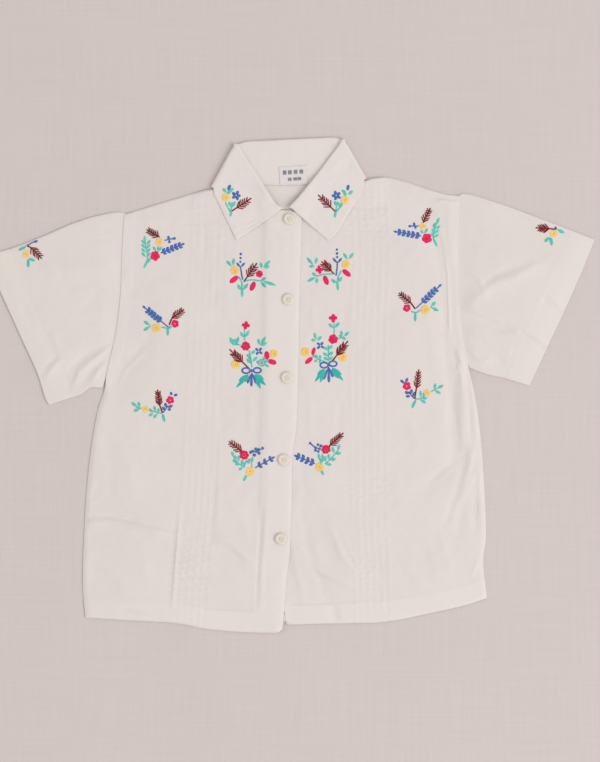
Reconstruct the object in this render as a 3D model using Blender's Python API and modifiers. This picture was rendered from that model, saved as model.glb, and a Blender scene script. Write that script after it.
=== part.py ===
"""Child's short-sleeved embroidered shirt, buttoned and laid flat on a surface.

The back lies on the floor and the two fronts lie on it, right over left at the buttons. +X is
the wearer's left, +Y runs to the collar and +Z is up. The origin is the centre of the shirt's
box, on the floor. The tables are in millimetres, and the finished objects are in metres.
"""

import math

import bmesh
import bpy
import numpy as np

MM = 0.001

WALL = 1.0                # thickness of every cloth wall
SEAM_GAP = 0.3            # between two pieces where they meet
LAYER = WALL + SEAM_GAP   # from one layer of cloth to the next
SEAM_SETBACK = 0.6        # sideways gap where curved edges meet along a seam
HEM_RELIEF = 0.3          # a turned hem, a facing or a seam allowance makes the wall thicker
TUCK_RELIEF = 0.6         # height of a pin tuck over the cloth
THICKEST = WALL + HEM_RELIEF + TUCK_RELIEF

HEM_DEPTH = 18.0
HEM_STEP = 1.6            # width of the step at a hem line or a facing edge
ARMHOLE_SEAM = 9.5        # seam allowance that shows as a band along the armhole
SLEEVE_HEM = 24.7
TUCKS = 6
TUCK_PITCH = 6.6
TUCK_SLOPE = 1.5          # gentle side of a tuck, towards the centre
TUCK_EDGE = 0.6           # steep side, towards the side seam

PUFF = 1.9                # air between the fronts and the back, away from the seams
PUFF_REACH = 55.0
OVERLAP_LIFT = 1.7        # the right front over the left front
COLLAR_LIFT = LAYER       # the back's neck lies on the fall of the collar
SLEEVE_HEIGHT = 2.6
SLEEVE_PUFF = 1.7

BUTTON_WIDTH = 11.4
BUTTON_THICKNESS = 2.2
BUTTON_HOLE = 1.5
BUTTON_HOLE_SPREAD = 1.45

# Edges of the panels, seen from above
RIGHT_SIDE = [  # x, y: side seam from the hem to the armpit, then armhole to the shoulder
    (-193.8, -220.6), (-196.4, -187.0), (-194.1, -122.0), (-189.5, -69.0), (-181.6, -22.0),
    (-175.5, -4.0), (-169.6, 23.0), (-164.0, 46.0), (-158.5, 94.0), (-157.5, 126.0),
    (-155.3, 162.7)]
LEFT_SIDE = [  # x, y
    (187.5, -202.1), (184.0, -165.3), (186.7, -144.0), (184.9, -94.3), (179.5, -30.5),
    (176.0, -9.2), (170.1, 15.9), (163.9, 41.1), (159.2, 89.9), (159.0, 130.4), (160.0, 180.1)]
RIGHT_HEM = [  # x, y
    (-196.4, -220.4), (-155.9, -223.0), (-111.6, -225.6), (-76.1, -231.8), (-40.6, -234.5),
    (-12.2, -235.3), (-6.6, -231.5)]
LEFT_HEM = [  # x, y
    (-4.8, -224.5), (-1.4, -227.4), (25.2, -226.5), (78.4, -225.6), (96.1, -223.9),
    (131.6, -216.8), (167.2, -208.7), (187.5, -202.1)]
BACK_HEM = [  # x, y: hidden, just inside the hems of the fronts
    (-196.4, -219.9), (-155.9, -222.0), (-76.1, -226.5), (-12.2, -226.0), (78.4, -223.8),
    (131.6, -215.6), (187.5, -201.6)]
RIGHT_TOP = [  # x, y: shoulder seam to the neck point, then the neckline
    (-155.3, 162.7), (-112.9, 176.0), (-84.0, 184.2), (-78.0, 185.5), (-72.0, 186.5),
    (-54.6, 194.0), (-47.0, 183.6), (-32.8, 173.2), (-13.8, 167.5), (11.9, 163.7)]
LEFT_TOP = [  # x, y
    (-17.6, 167.0), (5.0, 166.6), (20.0, 168.5), (35.0, 176.0), (47.0, 188.0), (53.7, 198.8),
    (62.0, 196.4), (70.9, 194.5), (76.5, 195.9), (84.0, 197.2), (91.0, 197.7), (107.3, 194.3),
    (131.6, 186.2), (151.8, 180.9), (160.0, 180.1)]
BACK_NECK = [  # x, y
    (-54.6, 194.0), (-35.0, 191.6), (0.0, 190.5), (30.0, 192.5), (45.0, 196.2), (53.7, 198.8)]
OVER_EDGE = [  # x, y: free edge of the right front, which lies on top
    (-6.6, -231.5), (-2.4, -181.2), (0.5, -154.6), (2.2, -105.2), (2.6, -69.1), (6.6, -39.6),
    (8.5, 24.0), (9.5, 81.0), (11.9, 163.7)]
UNDER_EDGE = [(-4.8, -226.8), (-17.6, -147.0), (-17.6, 167.0)]  # x, y: hidden edge, left front
FACING_EDGE = [  # x, y: inner edge of the right front's facing
    (-36.0, -231.0), (-34.4, -207.8), (-30.9, -172.4), (-29.1, -108.5), (-25.6, -17.8),
    (-23.7, 77.7), (-23.0, 167.0)]
RIGHT_TUCK = [  # x, y: the tuck nearest the side seam
    (-113.1, -224.0), (-108.8, -165.0), (-103.6, -119.4), (-98.7, -21.6), (-96.6, 49.7),
    (-94.5, 105.7), (-91.7, 177.0)]
LEFT_TUCK = [  # x, y
    (97.1, -216.8), (96.1, -172.6), (93.6, -119.4), (93.6, -66.2), (92.6, 5.0), (93.1, 49.7),
    (96.1, 130.4), (94.1, 171.3)]

# Edges of the sleeves: fold from the shoulder to the cuff, cuff, underarm and armhole
RIGHT_SLEEVE = {  # x, y
    "fold": [(-155.9, 163.0), (-161.5, 164.4), (-183.8, 160.8), (-206.1, 153.7),
             (-234.5, 141.5), (-275.0, 126.7), (-289.8, 123.3)],
    "cuff": [(-289.8, 123.3), (-275.0, 89.9), (-254.8, 45.3), (-238.5, 8.8), (-231.0, -14.5),
             (-228.4, -18.5)],
    "underarm": [(-177.4, -2.2), (-187.9, -2.0), (-198.0, -8.5), (-214.2, -13.5),
                 (-228.4, -18.5)],
    "armhole": [(-155.9, 163.0), (-158.1, 126.0), (-159.1, 94.0), (-164.6, 46.0),
                (-170.2, 23.0), (-177.4, -2.2)]}
LEFT_SLEEVE = {  # x, y
    "fold": [(160.7, 180.6), (164.6, 182.0), (192.4, 175.0), (228.9, 161.9), (261.3, 149.7),
             (289.7, 138.5)],
    "cuff": [(289.7, 138.5), (277.5, 108.1), (261.3, 71.6), (245.1, 37.1), (227.9, -0.3)],
    "underarm": [(170.9, 16.4), (186.3, 10.8), (204.5, 6.7), (227.9, -0.3)],
    "armhole": [(160.7, 180.6), (159.7, 130.4), (159.9, 89.9), (164.6, 41.1), (170.9, 16.4)]}

# The collar from the right centre front, round the back, to the left centre front
RIGHT_LEAF = [  # neck x, roll x, roll y, outer edge x, outer edge y
    (-11.4, -8.0, 167.6, -50.4, 137.6),
    (-17.0, -12.6, 171.5, -56.2, 149.4),
    (-26.0, -19.6, 181.2, -61.6, 160.6),
    (-37.0, -29.4, 197.0, -67.0, 172.0),
    (-46.0, -40.8, 214.2, -71.6, 181.8)]
LEFT_LEAF = [  # neck x, roll x, roll y, outer edge x, outer edge y
    (50.0, 46.6, 227.0, 70.6, 190.4),
    (45.5, 40.0, 218.4, 69.0, 184.4),
    (37.0, 29.0, 203.6, 61.8, 172.4),
    (25.0, 17.8, 189.4, 53.6, 158.8),
    (14.0, 7.4, 176.8, 45.2, 145.0),
    (6.0, 0.8, 169.4, 36.6, 137.2)]
RIGHT_CORNER = {"neck": (-54.4, 195.4), "roll": (-52.3, 229.6), "edge": (-74.8, 188.6)}
LEFT_CORNER = {"neck": (53.6, 200.0), "roll": (51.9, 233.9), "edge": (73.2, 196.2)}
BACK_COLLAR = [  # x at the neck and the roll, roll y, outer edge y
    (-40.0, 231.2, 187.6), (-26.0, 231.9, 187.0), (-12.0, 232.6, 186.8), (2.0, 233.3, 186.9),
    (16.0, 234.0, 187.2), (29.0, 234.6, 188.2), (41.0, 235.1, 190.0)]
STAND_FOLD = 0.65         # radius of the stand where the collar turns from front to back
FALL_FOLD = 2.4           # radius of the fall there, round the outside
LEAF_GAP = 0.6            # between a leaf and the tucks under it
LEAF_RISE = 1.5           # a leaf stands this much higher at its roll
FRONT_STAND_RISE = 0.9    # and the stand under it this much
BACK_STAND_RISE = 0.6     # the stand lifts off the fall behind it
BACK_ARCH = 0.8           # and a little more in its middle
ROLL_REACH = 1.5          # length of the half turn at the roll

LABEL = {"centre": (3.8, 199.4), "width": 26.8, "height": 17.4, "turn": 3.6}

BUTTONS = [  # x, y, turn in degrees
    (-0.5, 158.0, 20.0), (-1.6, 81.5, -12.0), (-2.8, 7.4, 33.0), (-5.7, -70.5, 8.0),
    (-8.3, -145.5, -25.0)]

# The largest folds of the laid cloth: a row is a line in x and y, its half width and height
RIGHT_FRONT_FOLDS = [
    ([(-166.7, 0.7), (-155.3, 18.9), (-139.2, 35.4)], 8.0, -1.1),
    ([(-192.0, -126.5), (-170.5, -124.5), (-150.6, -129.5), (-125.9, -136.0)], 9.0, 1.1),
    ([(-63.0, -146.0), (-48.0, -156.0), (-33.0, -168.0)], 8.0, 0.9)]
LEFT_FRONT_FOLDS = [
    ([(142.0, 130.4), (149.6, 99.3), (153.9, 27.8), (158.0, -52.0), (159.1, -67.2)], 7.5, -1.4),
    ([(164.5, 30.0), (168.0, -20.0), (171.0, -62.0)], 8.0, 1.3),
    ([(157.0, -74.0), (143.0, -85.0), (129.7, -96.6)], 8.0, -0.9),
    ([(39.4, -133.4), (49.9, -161.7), (60.7, -174.0)], 8.0, 0.9)]
RIGHT_SLEEVE_FOLDS = [
    ([(-214.0, 2.0), (-200.0, 23.1), (-183.8, 37.3)], 8.0, -1.0),
    ([(-207.0, 108.0), (-190.0, 112.0), (-172.0, 113.0)], 9.0, 0.7)]
LEFT_SLEEVE_FOLDS = [
    ([(172.1, 77.7), (192.4, 95.9), (212.7, 102.0), (232.9, 114.3)], 8.0, 1.2),
    ([(166.1, 62.5), (182.3, 60.5), (198.5, 54.4)], 8.0, -1.0)]

# Rows of a panel from the hem to the top, as parts of its height
PANEL_ROWS = [0.0, 0.0445, 0.0485, 0.12, 0.20, 0.28, 0.36, 0.44, 0.52, 0.60, 0.68, 0.76, 0.83,
              0.89, 0.935, 0.965, 0.985, 1.0]
BACK_ROWS = [0.0, 0.17, 0.34, 0.48, 0.54, 0.60, 0.66, 0.72, 0.78, 0.84, 0.89, 0.935, 0.965,
             0.985, 1.0]


def smooth_graph(keys, values):
    """A curve through the values, with no overshoot, as a function of the key."""
    keys = np.array(keys, float)
    values = np.array(values, float)
    step = np.diff(keys)
    rise = np.diff(values) / step
    slope = np.zeros(len(keys))
    slope[0] = rise[0]
    slope[-1] = rise[-1]
    for i in range(1, len(keys) - 1):
        if rise[i - 1] * rise[i] > 0:
            slope[i] = 2 * rise[i - 1] * rise[i] / (rise[i - 1] + rise[i])

    def at(key):
        key = min(max(key, keys[0]), keys[-1])
        i = min(max(int(np.searchsorted(keys, key, "right")) - 1, 0), len(step) - 1)
        s = (key - keys[i]) / step[i]
        return (values[i] * (1 + 2 * s) * (1 - s) ** 2
                + slope[i] * step[i] * s * (1 - s) ** 2
                + values[i + 1] * s * s * (3 - 2 * s)
                + slope[i + 1] * step[i] * s * s * (s - 1))

    return at


def x_of_y(points):
    ordered = sorted(points, key=lambda point: point[1])
    return smooth_graph([y for _, y in ordered], [x for x, _ in ordered])


def y_of_x(points):
    return smooth_graph([x for x, _ in points], [y for _, y in points])


def outline_of(points):
    """A smooth curve in the plane, as a function of the part of its length."""
    places = np.array(points, float)
    lengths = np.concatenate([[0], np.cumsum(np.hypot(*np.diff(places, axis=0).T))])
    parts = lengths / lengths[-1]
    x_at = smooth_graph(parts, places[:, 0])
    y_at = smooth_graph(parts, places[:, 1])
    return lambda part: np.array([x_at(part), y_at(part)])


def ease(value):
    """0 below 0, 1 above 1 and a smooth rise between."""
    value = min(max(value, 0.0), 1.0)
    return value * value * (3 - 2 * value)


def distance_to(line, x, y):
    nearest = math.inf
    for (x0, y0), (x1, y1) in zip(line, line[1:]):
        dx = x1 - x0
        dy = y1 - y0
        along = ((x - x0) * dx + (y - y0) * dy) / (dx * dx + dy * dy)
        along = min(max(along, 0.0), 1.0)
        nearest = min(nearest, math.hypot(x - x0 - along * dx, y - y0 - along * dy))
    return nearest


def folds_at(folds, x, y):
    return sum(height * math.exp(-(distance_to(line, x, y) / width) ** 2)
               for line, width, height in folds)


right_side = x_of_y(RIGHT_SIDE)
left_side = x_of_y(LEFT_SIDE)
right_hem = y_of_x(RIGHT_HEM)
left_hem = y_of_x(LEFT_HEM)
back_hem = y_of_x(BACK_HEM)
right_top = y_of_x(RIGHT_TOP)
left_top = y_of_x(LEFT_TOP)
back_neck = y_of_x(BACK_NECK)
over_edge = x_of_y(OVER_EDGE)
under_edge = x_of_y(UNDER_EDGE)
facing_edge = x_of_y(FACING_EDGE)
right_tuck = x_of_y(RIGHT_TUCK)
left_tuck = x_of_y(LEFT_TUCK)


def back_top(x):
    if x < BACK_NECK[0][0]:
        return right_top(x)
    if x > BACK_NECK[-1][0]:
        return left_top(x)
    return back_neck(x)


def neck_lift(x, y, start):
    """How far the panels rise from start to lie on the fall of the collar."""
    return COLLAR_LIFT * ease((y - start) / 12) * ease((96 - abs(x)) / 18)


def back_underside(x, y):
    """The back is flat on the floor, and its neck lies on the fall of the collar."""
    return neck_lift(x, y, 173)


def puff(x, y):
    across = ease((x - right_side(y)) / PUFF_REACH) * ease((left_side(y) - x) / PUFF_REACH)
    along = ease((160 - y) / 60) * (0.35 + 0.65 * ease((y + 232) / 60))
    return PUFF * across * along


def front_underside(x, y, folds):
    air = max(puff(x, y) + folds_at(folds, x, y) * ease((x - right_side(y)) / 12)
              * ease((left_side(y) - x) / 12), 0.0)
    return neck_lift(x, y, 169) + LAYER + air


def overlap_lift(x, y):
    """How far the right front rises to lie on the left front."""
    start = facing_edge(y) - 6
    end = under_edge(y) - 1
    return OVERLAP_LIFT * ease((x - start) / (end - start))


def cover(x, y):
    """The top of the fronts, whichever lies there, for what lies on them."""
    lift = OVERLAP_LIFT * ease((x + 34) / 14) * ease((26 - x) / 12)
    return neck_lift(x, y, 169) + LAYER + puff(x, y) + WALL + lift


def new_material(name, colour, roughness):
    material = bpy.data.materials.new(name)
    material.use_nodes = True
    shader = material.node_tree.nodes["Principled BSDF"]
    shader.inputs["Base Color"].default_value = (*colour, 1.0)
    shader.inputs["Roughness"].default_value = roughness
    shader.inputs["Metallic"].default_value = 0.0
    return material


def cloth_material(name):
    return new_material(name, (0.76, 0.70, 0.68), 0.9)


def label_material(name):
    return new_material(name, (0.82, 0.80, 0.79), 0.8)


def button_material(name):
    return new_material(name, (0.77, 0.71, 0.55), 0.3)


def add_to_shirt(obj, material):
    shirt_parts.objects.link(obj)
    obj.parent = shirt
    obj.data.materials.append(material)


def sheet_object(name, across, along, place, thickness, closed=False, turned=False):
    """A grid of across by along points moved to place(i, j), as an object with its wall.

    thickness(i, j) is the wall, kept as a vertex group that the Solidify modifier reads."""
    mesh = bpy.data.meshes.new(name)
    work = bmesh.new()
    bmesh.ops.create_grid(work, x_segments=across - 1, y_segments=along - 1, size=1.0)
    group = work.verts.layers.deform.verify()
    for vert in work.verts:
        i = round((vert.co.x + 1) / 2 * (across - 1))
        j = round((vert.co.y + 1) / 2 * (along - 1))
        vert.co = [value * MM for value in place(i, j)]
        vert[group][0] = thickness(i, j) / THICKEST
    if closed:
        bmesh.ops.remove_doubles(work, verts=work.verts, dist=0.01 * MM)
    if turned:
        bmesh.ops.reverse_faces(work, faces=work.faces)
    work.to_mesh(mesh)
    work.free()
    obj = bpy.data.objects.new(name, mesh)
    obj.vertex_groups.new(name="wall")
    return obj


def add_wall(obj, side):
    """side is 1 for a wall on the outer side of the sheet, -1 for inside and 0 for both."""
    wall = obj.modifiers.new("wall", "SOLIDIFY")
    wall.thickness = THICKEST * MM
    wall.offset = side
    wall.vertex_group = "wall"
    wall.thickness_vertex_group = 0.0


def panel(name, columns, rows, bottom, top, underside, relief):
    """A panel of cloth: columns(y) gives the x of each column of points at that height."""
    count = len(columns(0.0))
    places = {}
    for i in range(count):
        for j, part in enumerate(rows):
            y = -200 + 380 * part
            for _ in range(8):
                x = columns(y)[i]
                y = bottom(x) + (top(x) - bottom(x)) * part
            places[i, j] = (x, y, underside(x, y))
    obj = sheet_object(name, count, len(rows), lambda i, j: places[i, j],
                       lambda i, j: WALL + relief(i, j, *places[i, j][:2]))
    add_wall(obj, 1)
    add_to_shirt(obj, cloth_material(name))


def between(start, end, count):
    """count even steps from start to end, without the two ends."""
    return [start + (end - start) * (k + 1) / (count + 1) for k in range(count)]


def tuck_columns(first, direction):
    """Three columns a tuck: its base at the side, its crest and its base at the centre."""
    found = []
    for k in range(TUCKS):
        crest = first + direction * k * TUCK_PITCH
        found += [crest - direction * TUCK_EDGE, crest, crest + direction * TUCK_SLOPE]
    return found


RIGHT_SIDE_COLUMNS = 7     # before the tucks
LEFT_CENTRE_COLUMNS = 9


def right_front_columns(y):
    side = right_side(y)
    inner = side + ARMHOLE_SEAM + HEM_STEP
    tucks = tuck_columns(right_tuck(y), 1)
    facing = facing_edge(y)
    edge = over_edge(y)
    seat = min(under_edge(y) - 1, edge - 4)
    return ([side, side + ARMHOLE_SEAM, inner] + between(inner, tucks[0], 4) + tucks
            + between(tucks[-1], facing - HEM_STEP / 2, 3)
            + [facing - HEM_STEP / 2, facing + HEM_STEP / 2]
            + between(facing + HEM_STEP / 2, seat, 1) + [seat] + between(seat, edge, 1) + [edge])


def left_front_columns(y):
    side = left_side(y)
    inner = side - ARMHOLE_SEAM - HEM_STEP
    tucks = tuck_columns(left_tuck(y), -1)[::-1]
    edge = under_edge(y)
    return ([edge] + between(edge, tucks[0], 8) + tucks + between(tucks[-1], inner, 5)
            + [inner, side - ARMHOLE_SEAM, side])


def back_columns(y):
    right = right_side(y)
    left = left_side(y)
    return ([right] + between(right, -96.0, 1) + [-96.0, -86.0, -78.0, -72.0, BACK_NECK[0][0]]
            + [row[0] for row in BACK_COLLAR]
            + [BACK_NECK[-1][0], 62.0, 70.9, 76.5, 86.0, 96.0] + between(96.0, left, 1) + [left])


def front_relief(j, y, is_tuck, is_band):
    hem = HEM_RELIEF if j < 2 else 0.0
    tuck = TUCK_RELIEF if is_tuck else 0.0
    band = HEM_RELIEF if is_band else 0.0
    return max(hem, band) + tuck


def right_front_relief(i, j, x, y):
    first = RIGHT_SIDE_COLUMNS
    is_tuck = first <= i < first + 3 * TUCKS and (i - first) % 3 == 1
    is_band = (i < 2 and y > 0) or i > first + 3 * TUCKS + 3
    return front_relief(j, y, is_tuck, is_band)


def left_front_relief(i, j, x, y):
    first = LEFT_CENTRE_COLUMNS
    is_tuck = first <= i < first + 3 * TUCKS and (i - first) % 3 == 1
    is_band = i > first + 3 * TUCKS + 5 and y > 20
    return front_relief(j, y, is_tuck, is_band)


def right_front():
    panel("right_front", right_front_columns, PANEL_ROWS, right_hem, right_top,
          lambda x, y: front_underside(x, y, RIGHT_FRONT_FOLDS) + overlap_lift(x, y),
          right_front_relief)


def left_front():
    panel("left_front", left_front_columns, PANEL_ROWS, left_hem, left_top,
          lambda x, y: front_underside(x, y, LEFT_FRONT_FOLDS), left_front_relief)


def back():
    panel("back", back_columns, BACK_ROWS, back_hem, back_top, back_underside,
          lambda i, j, x, y: 0.0)


def sleeve_ring():
    """Points round a flattened sleeve: place across it from the fold, and height from 0 to 1."""
    turn = 0.007
    fold = [(turn, 0.0), (turn * 0.3, 0.17), (0.0, 0.5), (turn * 0.3, 0.83), (turn, 1.0)]
    above = [(part, 1.0) for part in between(0.0, 1.0, 11)]
    underarm = [(1 - across, height) for across, height in fold[::-1]]
    below = [(part, 0.0) for part in between(1.0, 0.0, 7)]
    return fold + above + underarm + below + fold[:1]


def sleeve(name, edges, folds, turned):
    """A flattened tube of rings from the armhole to the cuff, with a deep turned hem."""
    fold, cuff, underarm, armhole = (outline_of(edges[key])
                                     for key in ("fold", "cuff", "underarm", "armhole"))
    band = {key: SLEEVE_HEM / np.hypot(*np.diff(np.array(edges[key]), axis=0).T).sum()
            for key in ("fold", "underarm")}

    def hem_line(across):
        upper = fold(1 - band["fold"]) - cuff(0.0)
        lower = underarm(1 - band["underarm"]) - cuff(1.0)
        return cuff(across) + upper * (1 - across) + lower * across

    def body(along, across):
        upper = fold(along * (1 - band["fold"]))
        lower = underarm(along * (1 - band["underarm"]))
        corners = ((armhole(0.0) * (1 - across) + armhole(1.0) * across) * (1 - along)
                   + (hem_line(0.0) * (1 - across) + hem_line(1.0) * across) * along)
        return (armhole(across) * (1 - along) + hem_line(across) * along
                + upper * (1 - across) + lower * across - corners)

    def hem(along, across):
        return hem_line(across) * (1 - along) + cuff(across) * along

    stations = [(body, part, 0.0) for part in (0.0, 0.1, 0.24, 0.38, 0.52, 0.66, 0.8, 0.92, 1.0)]
    stations += [(hem, HEM_STEP / SLEEVE_HEM, HEM_RELIEF), (hem, 0.55, HEM_RELIEF),
                 (hem, 1.0, HEM_RELIEF)]
    ring = sleeve_ring()

    def relief(i, j):
        return stations[j][2] * (1.0 if ring[i][1] == 1.0 else 0.0)

    def place(i, j):
        surface, along, _ = stations[j]
        across, height = ring[i]
        x, y = surface(along, across)
        rise = (SLEEVE_PUFF * (ease(across / 0.3) * ease((1 - across) / 0.3)
                               * (0.15 + 0.85 * math.sin(math.pi * j / (len(stations) - 1))))
                + folds_at(folds, x, y) * ease(across / 0.08) * ease((1 - across) / 0.08))
        top = SLEEVE_HEIGHT + max(rise, 0.0) + relief(i, j)
        return x, y, top * height

    obj = sheet_object(name, len(ring), len(stations), place,
                       lambda i, j: WALL + relief(i, j), closed=True, turned=turned)
    add_wall(obj, -1)
    add_to_shirt(obj, cloth_material(name))


STAND_PARTS = (0.0, 0.33, 0.67, 1.0)
FALL_PARTS = (0.0, 0.15, 0.4, 0.7, 0.97, 1.0)


def leaf_rise(part):
    return LEAF_RISE * (1 - ease(part / 0.5))


def stand_rise(part, height):
    return height * ease(part / 0.3)


def collar_section(neck, roll, edge, stand_height, fall_height):
    """Points from the neck seam, up the stand, round the roll and out to the collar's edge.

    neck, roll and edge are places seen from above. The two heights are functions of a place
    and of the part of the way along the stand or the fall."""
    neck, roll, edge = (np.array(place, float) for place in (neck, roll, edge))
    reach = (roll - neck) / np.hypot(*(roll - neck)) * ROLL_REACH
    turn = roll - reach
    stand = [(*(neck + (turn - neck) * part), stand_height(neck + (turn - neck) * part, part))
             for part in STAND_PARTS]
    fall = [(*(turn + (edge - turn) * part), fall_height(turn + (edge - turn) * part, part))
            for part in FALL_PARTS]
    return round_roll(stand, fall, (*reach, 0.0))


def round_roll(stand, fall, reach):
    """Joins the end of the stand and the start of the fall with a half turn."""
    inner = np.array(stand[-1], float)
    outer = np.array(fall[0], float)
    centre = (inner + outer) / 2
    half = (outer - inner) / 2
    turn = [centre + half * math.sin(angle) + np.array(reach) * math.cos(angle)
            for angle in (-math.pi / 4, 0.0, math.pi / 4)]
    return [tuple(point) for point in [*stand, *turn, *fall]]


def leaf_sections(rows, neck_line):
    """Front sections: the stand lies beyond the neckline and the leaf lies back over it."""
    def stand_height(place, part):
        return cover(*place) - WALL / 2 + stand_rise(part, FRONT_STAND_RISE)

    def fall_height(place, part):
        return cover(*place) + TUCK_RELIEF + LEAF_GAP + WALL / 2 + leaf_rise(part)

    def neck_place(x):
        steepness = neck_line(x + 0.5) - neck_line(x - 0.5)
        return x, neck_line(x) + (SEAM_SETBACK + SEAM_GAP) * math.hypot(1, steepness)

    return [collar_section(neck_place(neck_x), (roll_x, roll_y), (edge_x, edge_y),
                           stand_height, fall_height)
            for neck_x, roll_x, roll_y, edge_x, edge_y in rows]


def corner_sections(corner, outward, angles):
    """Sections round the fold at a shoulder, where the collar turns from front to back.

    At 90 degrees the section lies on the front, and at -90 degrees under the back."""
    neck, roll, edge = (np.array(corner[key], float) for key in ("neck", "roll", "edge"))
    fold = (edge - roll) / np.hypot(*(edge - roll))
    side = np.array([outward, 0.0])
    across = side - fold * side.dot(fold)
    across /= np.hypot(*across)
    turn = roll + (edge - roll) * 0.04
    found = []
    for angle in angles:
        sine = math.sin(math.radians(angle))
        bend = math.cos(math.radians(angle)) - 1
        stand = []
        for part in STAND_PARTS:
            top = COLLAR_LIFT + LAYER + WALL / 2 + stand_rise(part, FRONT_STAND_RISE)
            bottom = COLLAR_LIFT + WALL / 2 + stand_rise(part, BACK_STAND_RISE)
            place = neck + (roll - neck) * part * 0.95 + side * (STAND_FOLD * bend
                                                                 - FALL_FOLD * part)
            stand.append((*place, (top + bottom) / 2 + (top - bottom) / 2 * sine))
        fall = []
        for part in FALL_PARTS:
            top = 2 * FALL_FOLD + WALL / 2 + leaf_rise(part)
            place = turn + (edge - turn) * part + across * (FALL_FOLD * bend - WALL / 2)
            fall.append((*place, (top + WALL / 2) / 2 + (top - WALL / 2) / 2 * sine))
        found.append(round_roll(stand, fall, (outward * 0.6, 1.3, 0.0)))
    return found


def back_stand_height(x, part):
    """Middle of the stand's wall behind the neck, part of the way up from the neck seam."""
    arch = BACK_ARCH * max(1 - (x / 32) ** 2, 0.0)
    return COLLAR_LIFT + WALL / 2 + stand_rise(part, BACK_STAND_RISE) + arch * part * part


def back_sections():
    """Back sections: the stand lies on the fall, which is folded under it."""
    return [collar_section((x, back_neck(x) + SEAM_SETBACK), (x, roll_y), (x, edge_y),
                           lambda place, part: back_stand_height(place[0], part),
                           lambda place, part: WALL / 2)
            for x, roll_y, edge_y in BACK_COLLAR]


def collar():
    """One folded band: leaves on the fronts, stand and hidden fall at the back."""
    sections = leaf_sections(RIGHT_LEAF, right_top)
    sections += corner_sections(RIGHT_CORNER, -1, (90, 45, 0, -45, -90))
    sections += back_sections()
    sections += corner_sections(LEFT_CORNER, 1, (-90, -45, 0, 45, 90))
    sections += leaf_sections(LEFT_LEAF, left_top)
    obj = sheet_object("collar", len(sections), len(sections[0]),
                       lambda i, j: sections[i][j], lambda i, j: WALL)
    add_wall(obj, 0)
    add_to_shirt(obj, cloth_material("collar"))


def label():
    """A blank tape sewn on the inside of the collar's stand."""
    width = LABEL["width"]
    height = LABEL["height"]
    turn = math.radians(LABEL["turn"])

    def place(i, j):
        u = (i / 4 - 0.5) * width
        v = (j / 3 - 0.5) * height
        x = LABEL["centre"][0] + u * math.cos(turn) - v * math.sin(turn)
        y = LABEL["centre"][1] + u * math.sin(turn) + v * math.cos(turn)
        part = max((y - back_neck(x)) / (232 - back_neck(x)), 0.0)
        return x, y, back_stand_height(x, part) + WALL / 2 + SEAM_GAP

    obj = sheet_object("label", 5, 4, place, lambda i, j: WALL)
    add_wall(obj, 1)
    add_to_shirt(obj, label_material("label"))


def button_mesh():
    """A round button with a raised rim, a dished face and four holes."""
    radius = BUTTON_WIDTH / 2
    top = BUTTON_THICKNESS
    profile = [(0.0, 1.4), (3.4, 1.4), (4.4, top), (5.1, top - 0.1), (radius, top - 0.8),
               (radius - 0.3, 0.5), (4.0, 0.0), (0.0, 0.0)]
    mesh = bpy.data.meshes.new("button_profile")
    points = [(x * MM, 0.0, z * MM) for x, z in profile]
    mesh.from_pydata(points, [(k, k + 1) for k in range(len(points) - 1)], [])
    turned = bpy.data.objects.new("button_turned", mesh)
    shirt_parts.objects.link(turned)
    screw = turned.modifiers.new("turn", "SCREW")
    screw.steps = 20
    screw.render_steps = 20
    screw.use_merge_vertices = True
    screw.merge_threshold = 0.00005
    work = bmesh.new()
    for k in range(4):
        angle = math.pi / 4 + math.pi / 2 * k
        spot = bmesh.ops.create_cone(work, cap_ends=True, segments=8, radius1=BUTTON_HOLE / 2 * MM,
                                     radius2=BUTTON_HOLE / 2 * MM, depth=0.006)
        bmesh.ops.translate(work, verts=spot["verts"],
                            vec=(BUTTON_HOLE_SPREAD * math.cos(angle) * MM,
                                 BUTTON_HOLE_SPREAD * math.sin(angle) * MM, 0.001))
    cutter_mesh = bpy.data.meshes.new("button_holes")
    work.to_mesh(cutter_mesh)
    work.free()
    cutter = bpy.data.objects.new("button_holes", cutter_mesh)
    cutters.objects.link(cutter)
    cutter.hide_render = True
    cutter.display_type = "WIRE"
    holes = turned.modifiers.new("holes", "BOOLEAN")
    holes.operation = "DIFFERENCE"
    holes.solver = "EXACT"
    holes.object = cutter
    bpy.context.view_layer.update()
    graph = bpy.context.evaluated_depsgraph_get()
    finished = bpy.data.meshes.new_from_object(turned.evaluated_get(graph))
    finished.name = "button"
    bpy.data.objects.remove(turned)
    bpy.data.objects.remove(cutter)
    finished.shade_smooth()
    finished.set_sharp_from_angle(angle=math.radians(40))
    return finished


def buttons():
    shared = button_mesh()
    shared.materials.append(button_material("button"))
    for number, (x, y, turn) in enumerate(BUTTONS, 1):
        obj = bpy.data.objects.new(f"button_{number}", shared)
        shirt_parts.objects.link(obj)
        obj.parent = shirt
        seat = (front_underside(x, y, RIGHT_FRONT_FOLDS) + OVERLAP_LIFT + WALL + HEM_RELIEF
                + SEAM_GAP)
        obj.location = (x * MM, y * MM, seat * MM)
        obj.rotation_euler = (0.0, 0.0, math.radians(turn))


for old in list(bpy.data.objects):
    bpy.data.objects.remove(old)

shirt_parts = bpy.data.collections.new("embroidered_shirt")
cutters = bpy.data.collections.new("cutters")
bpy.context.scene.collection.children.link(shirt_parts)
bpy.context.scene.collection.children.link(cutters)
shirt = bpy.data.objects.new("shirt", None)
shirt_parts.objects.link(shirt)

back()
right_front()
left_front()
sleeve("right_sleeve", RIGHT_SLEEVE, RIGHT_SLEEVE_FOLDS, True)
sleeve("left_sleeve", LEFT_SLEEVE, LEFT_SLEEVE_FOLDS, False)
collar()
label()
buttons()
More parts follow.
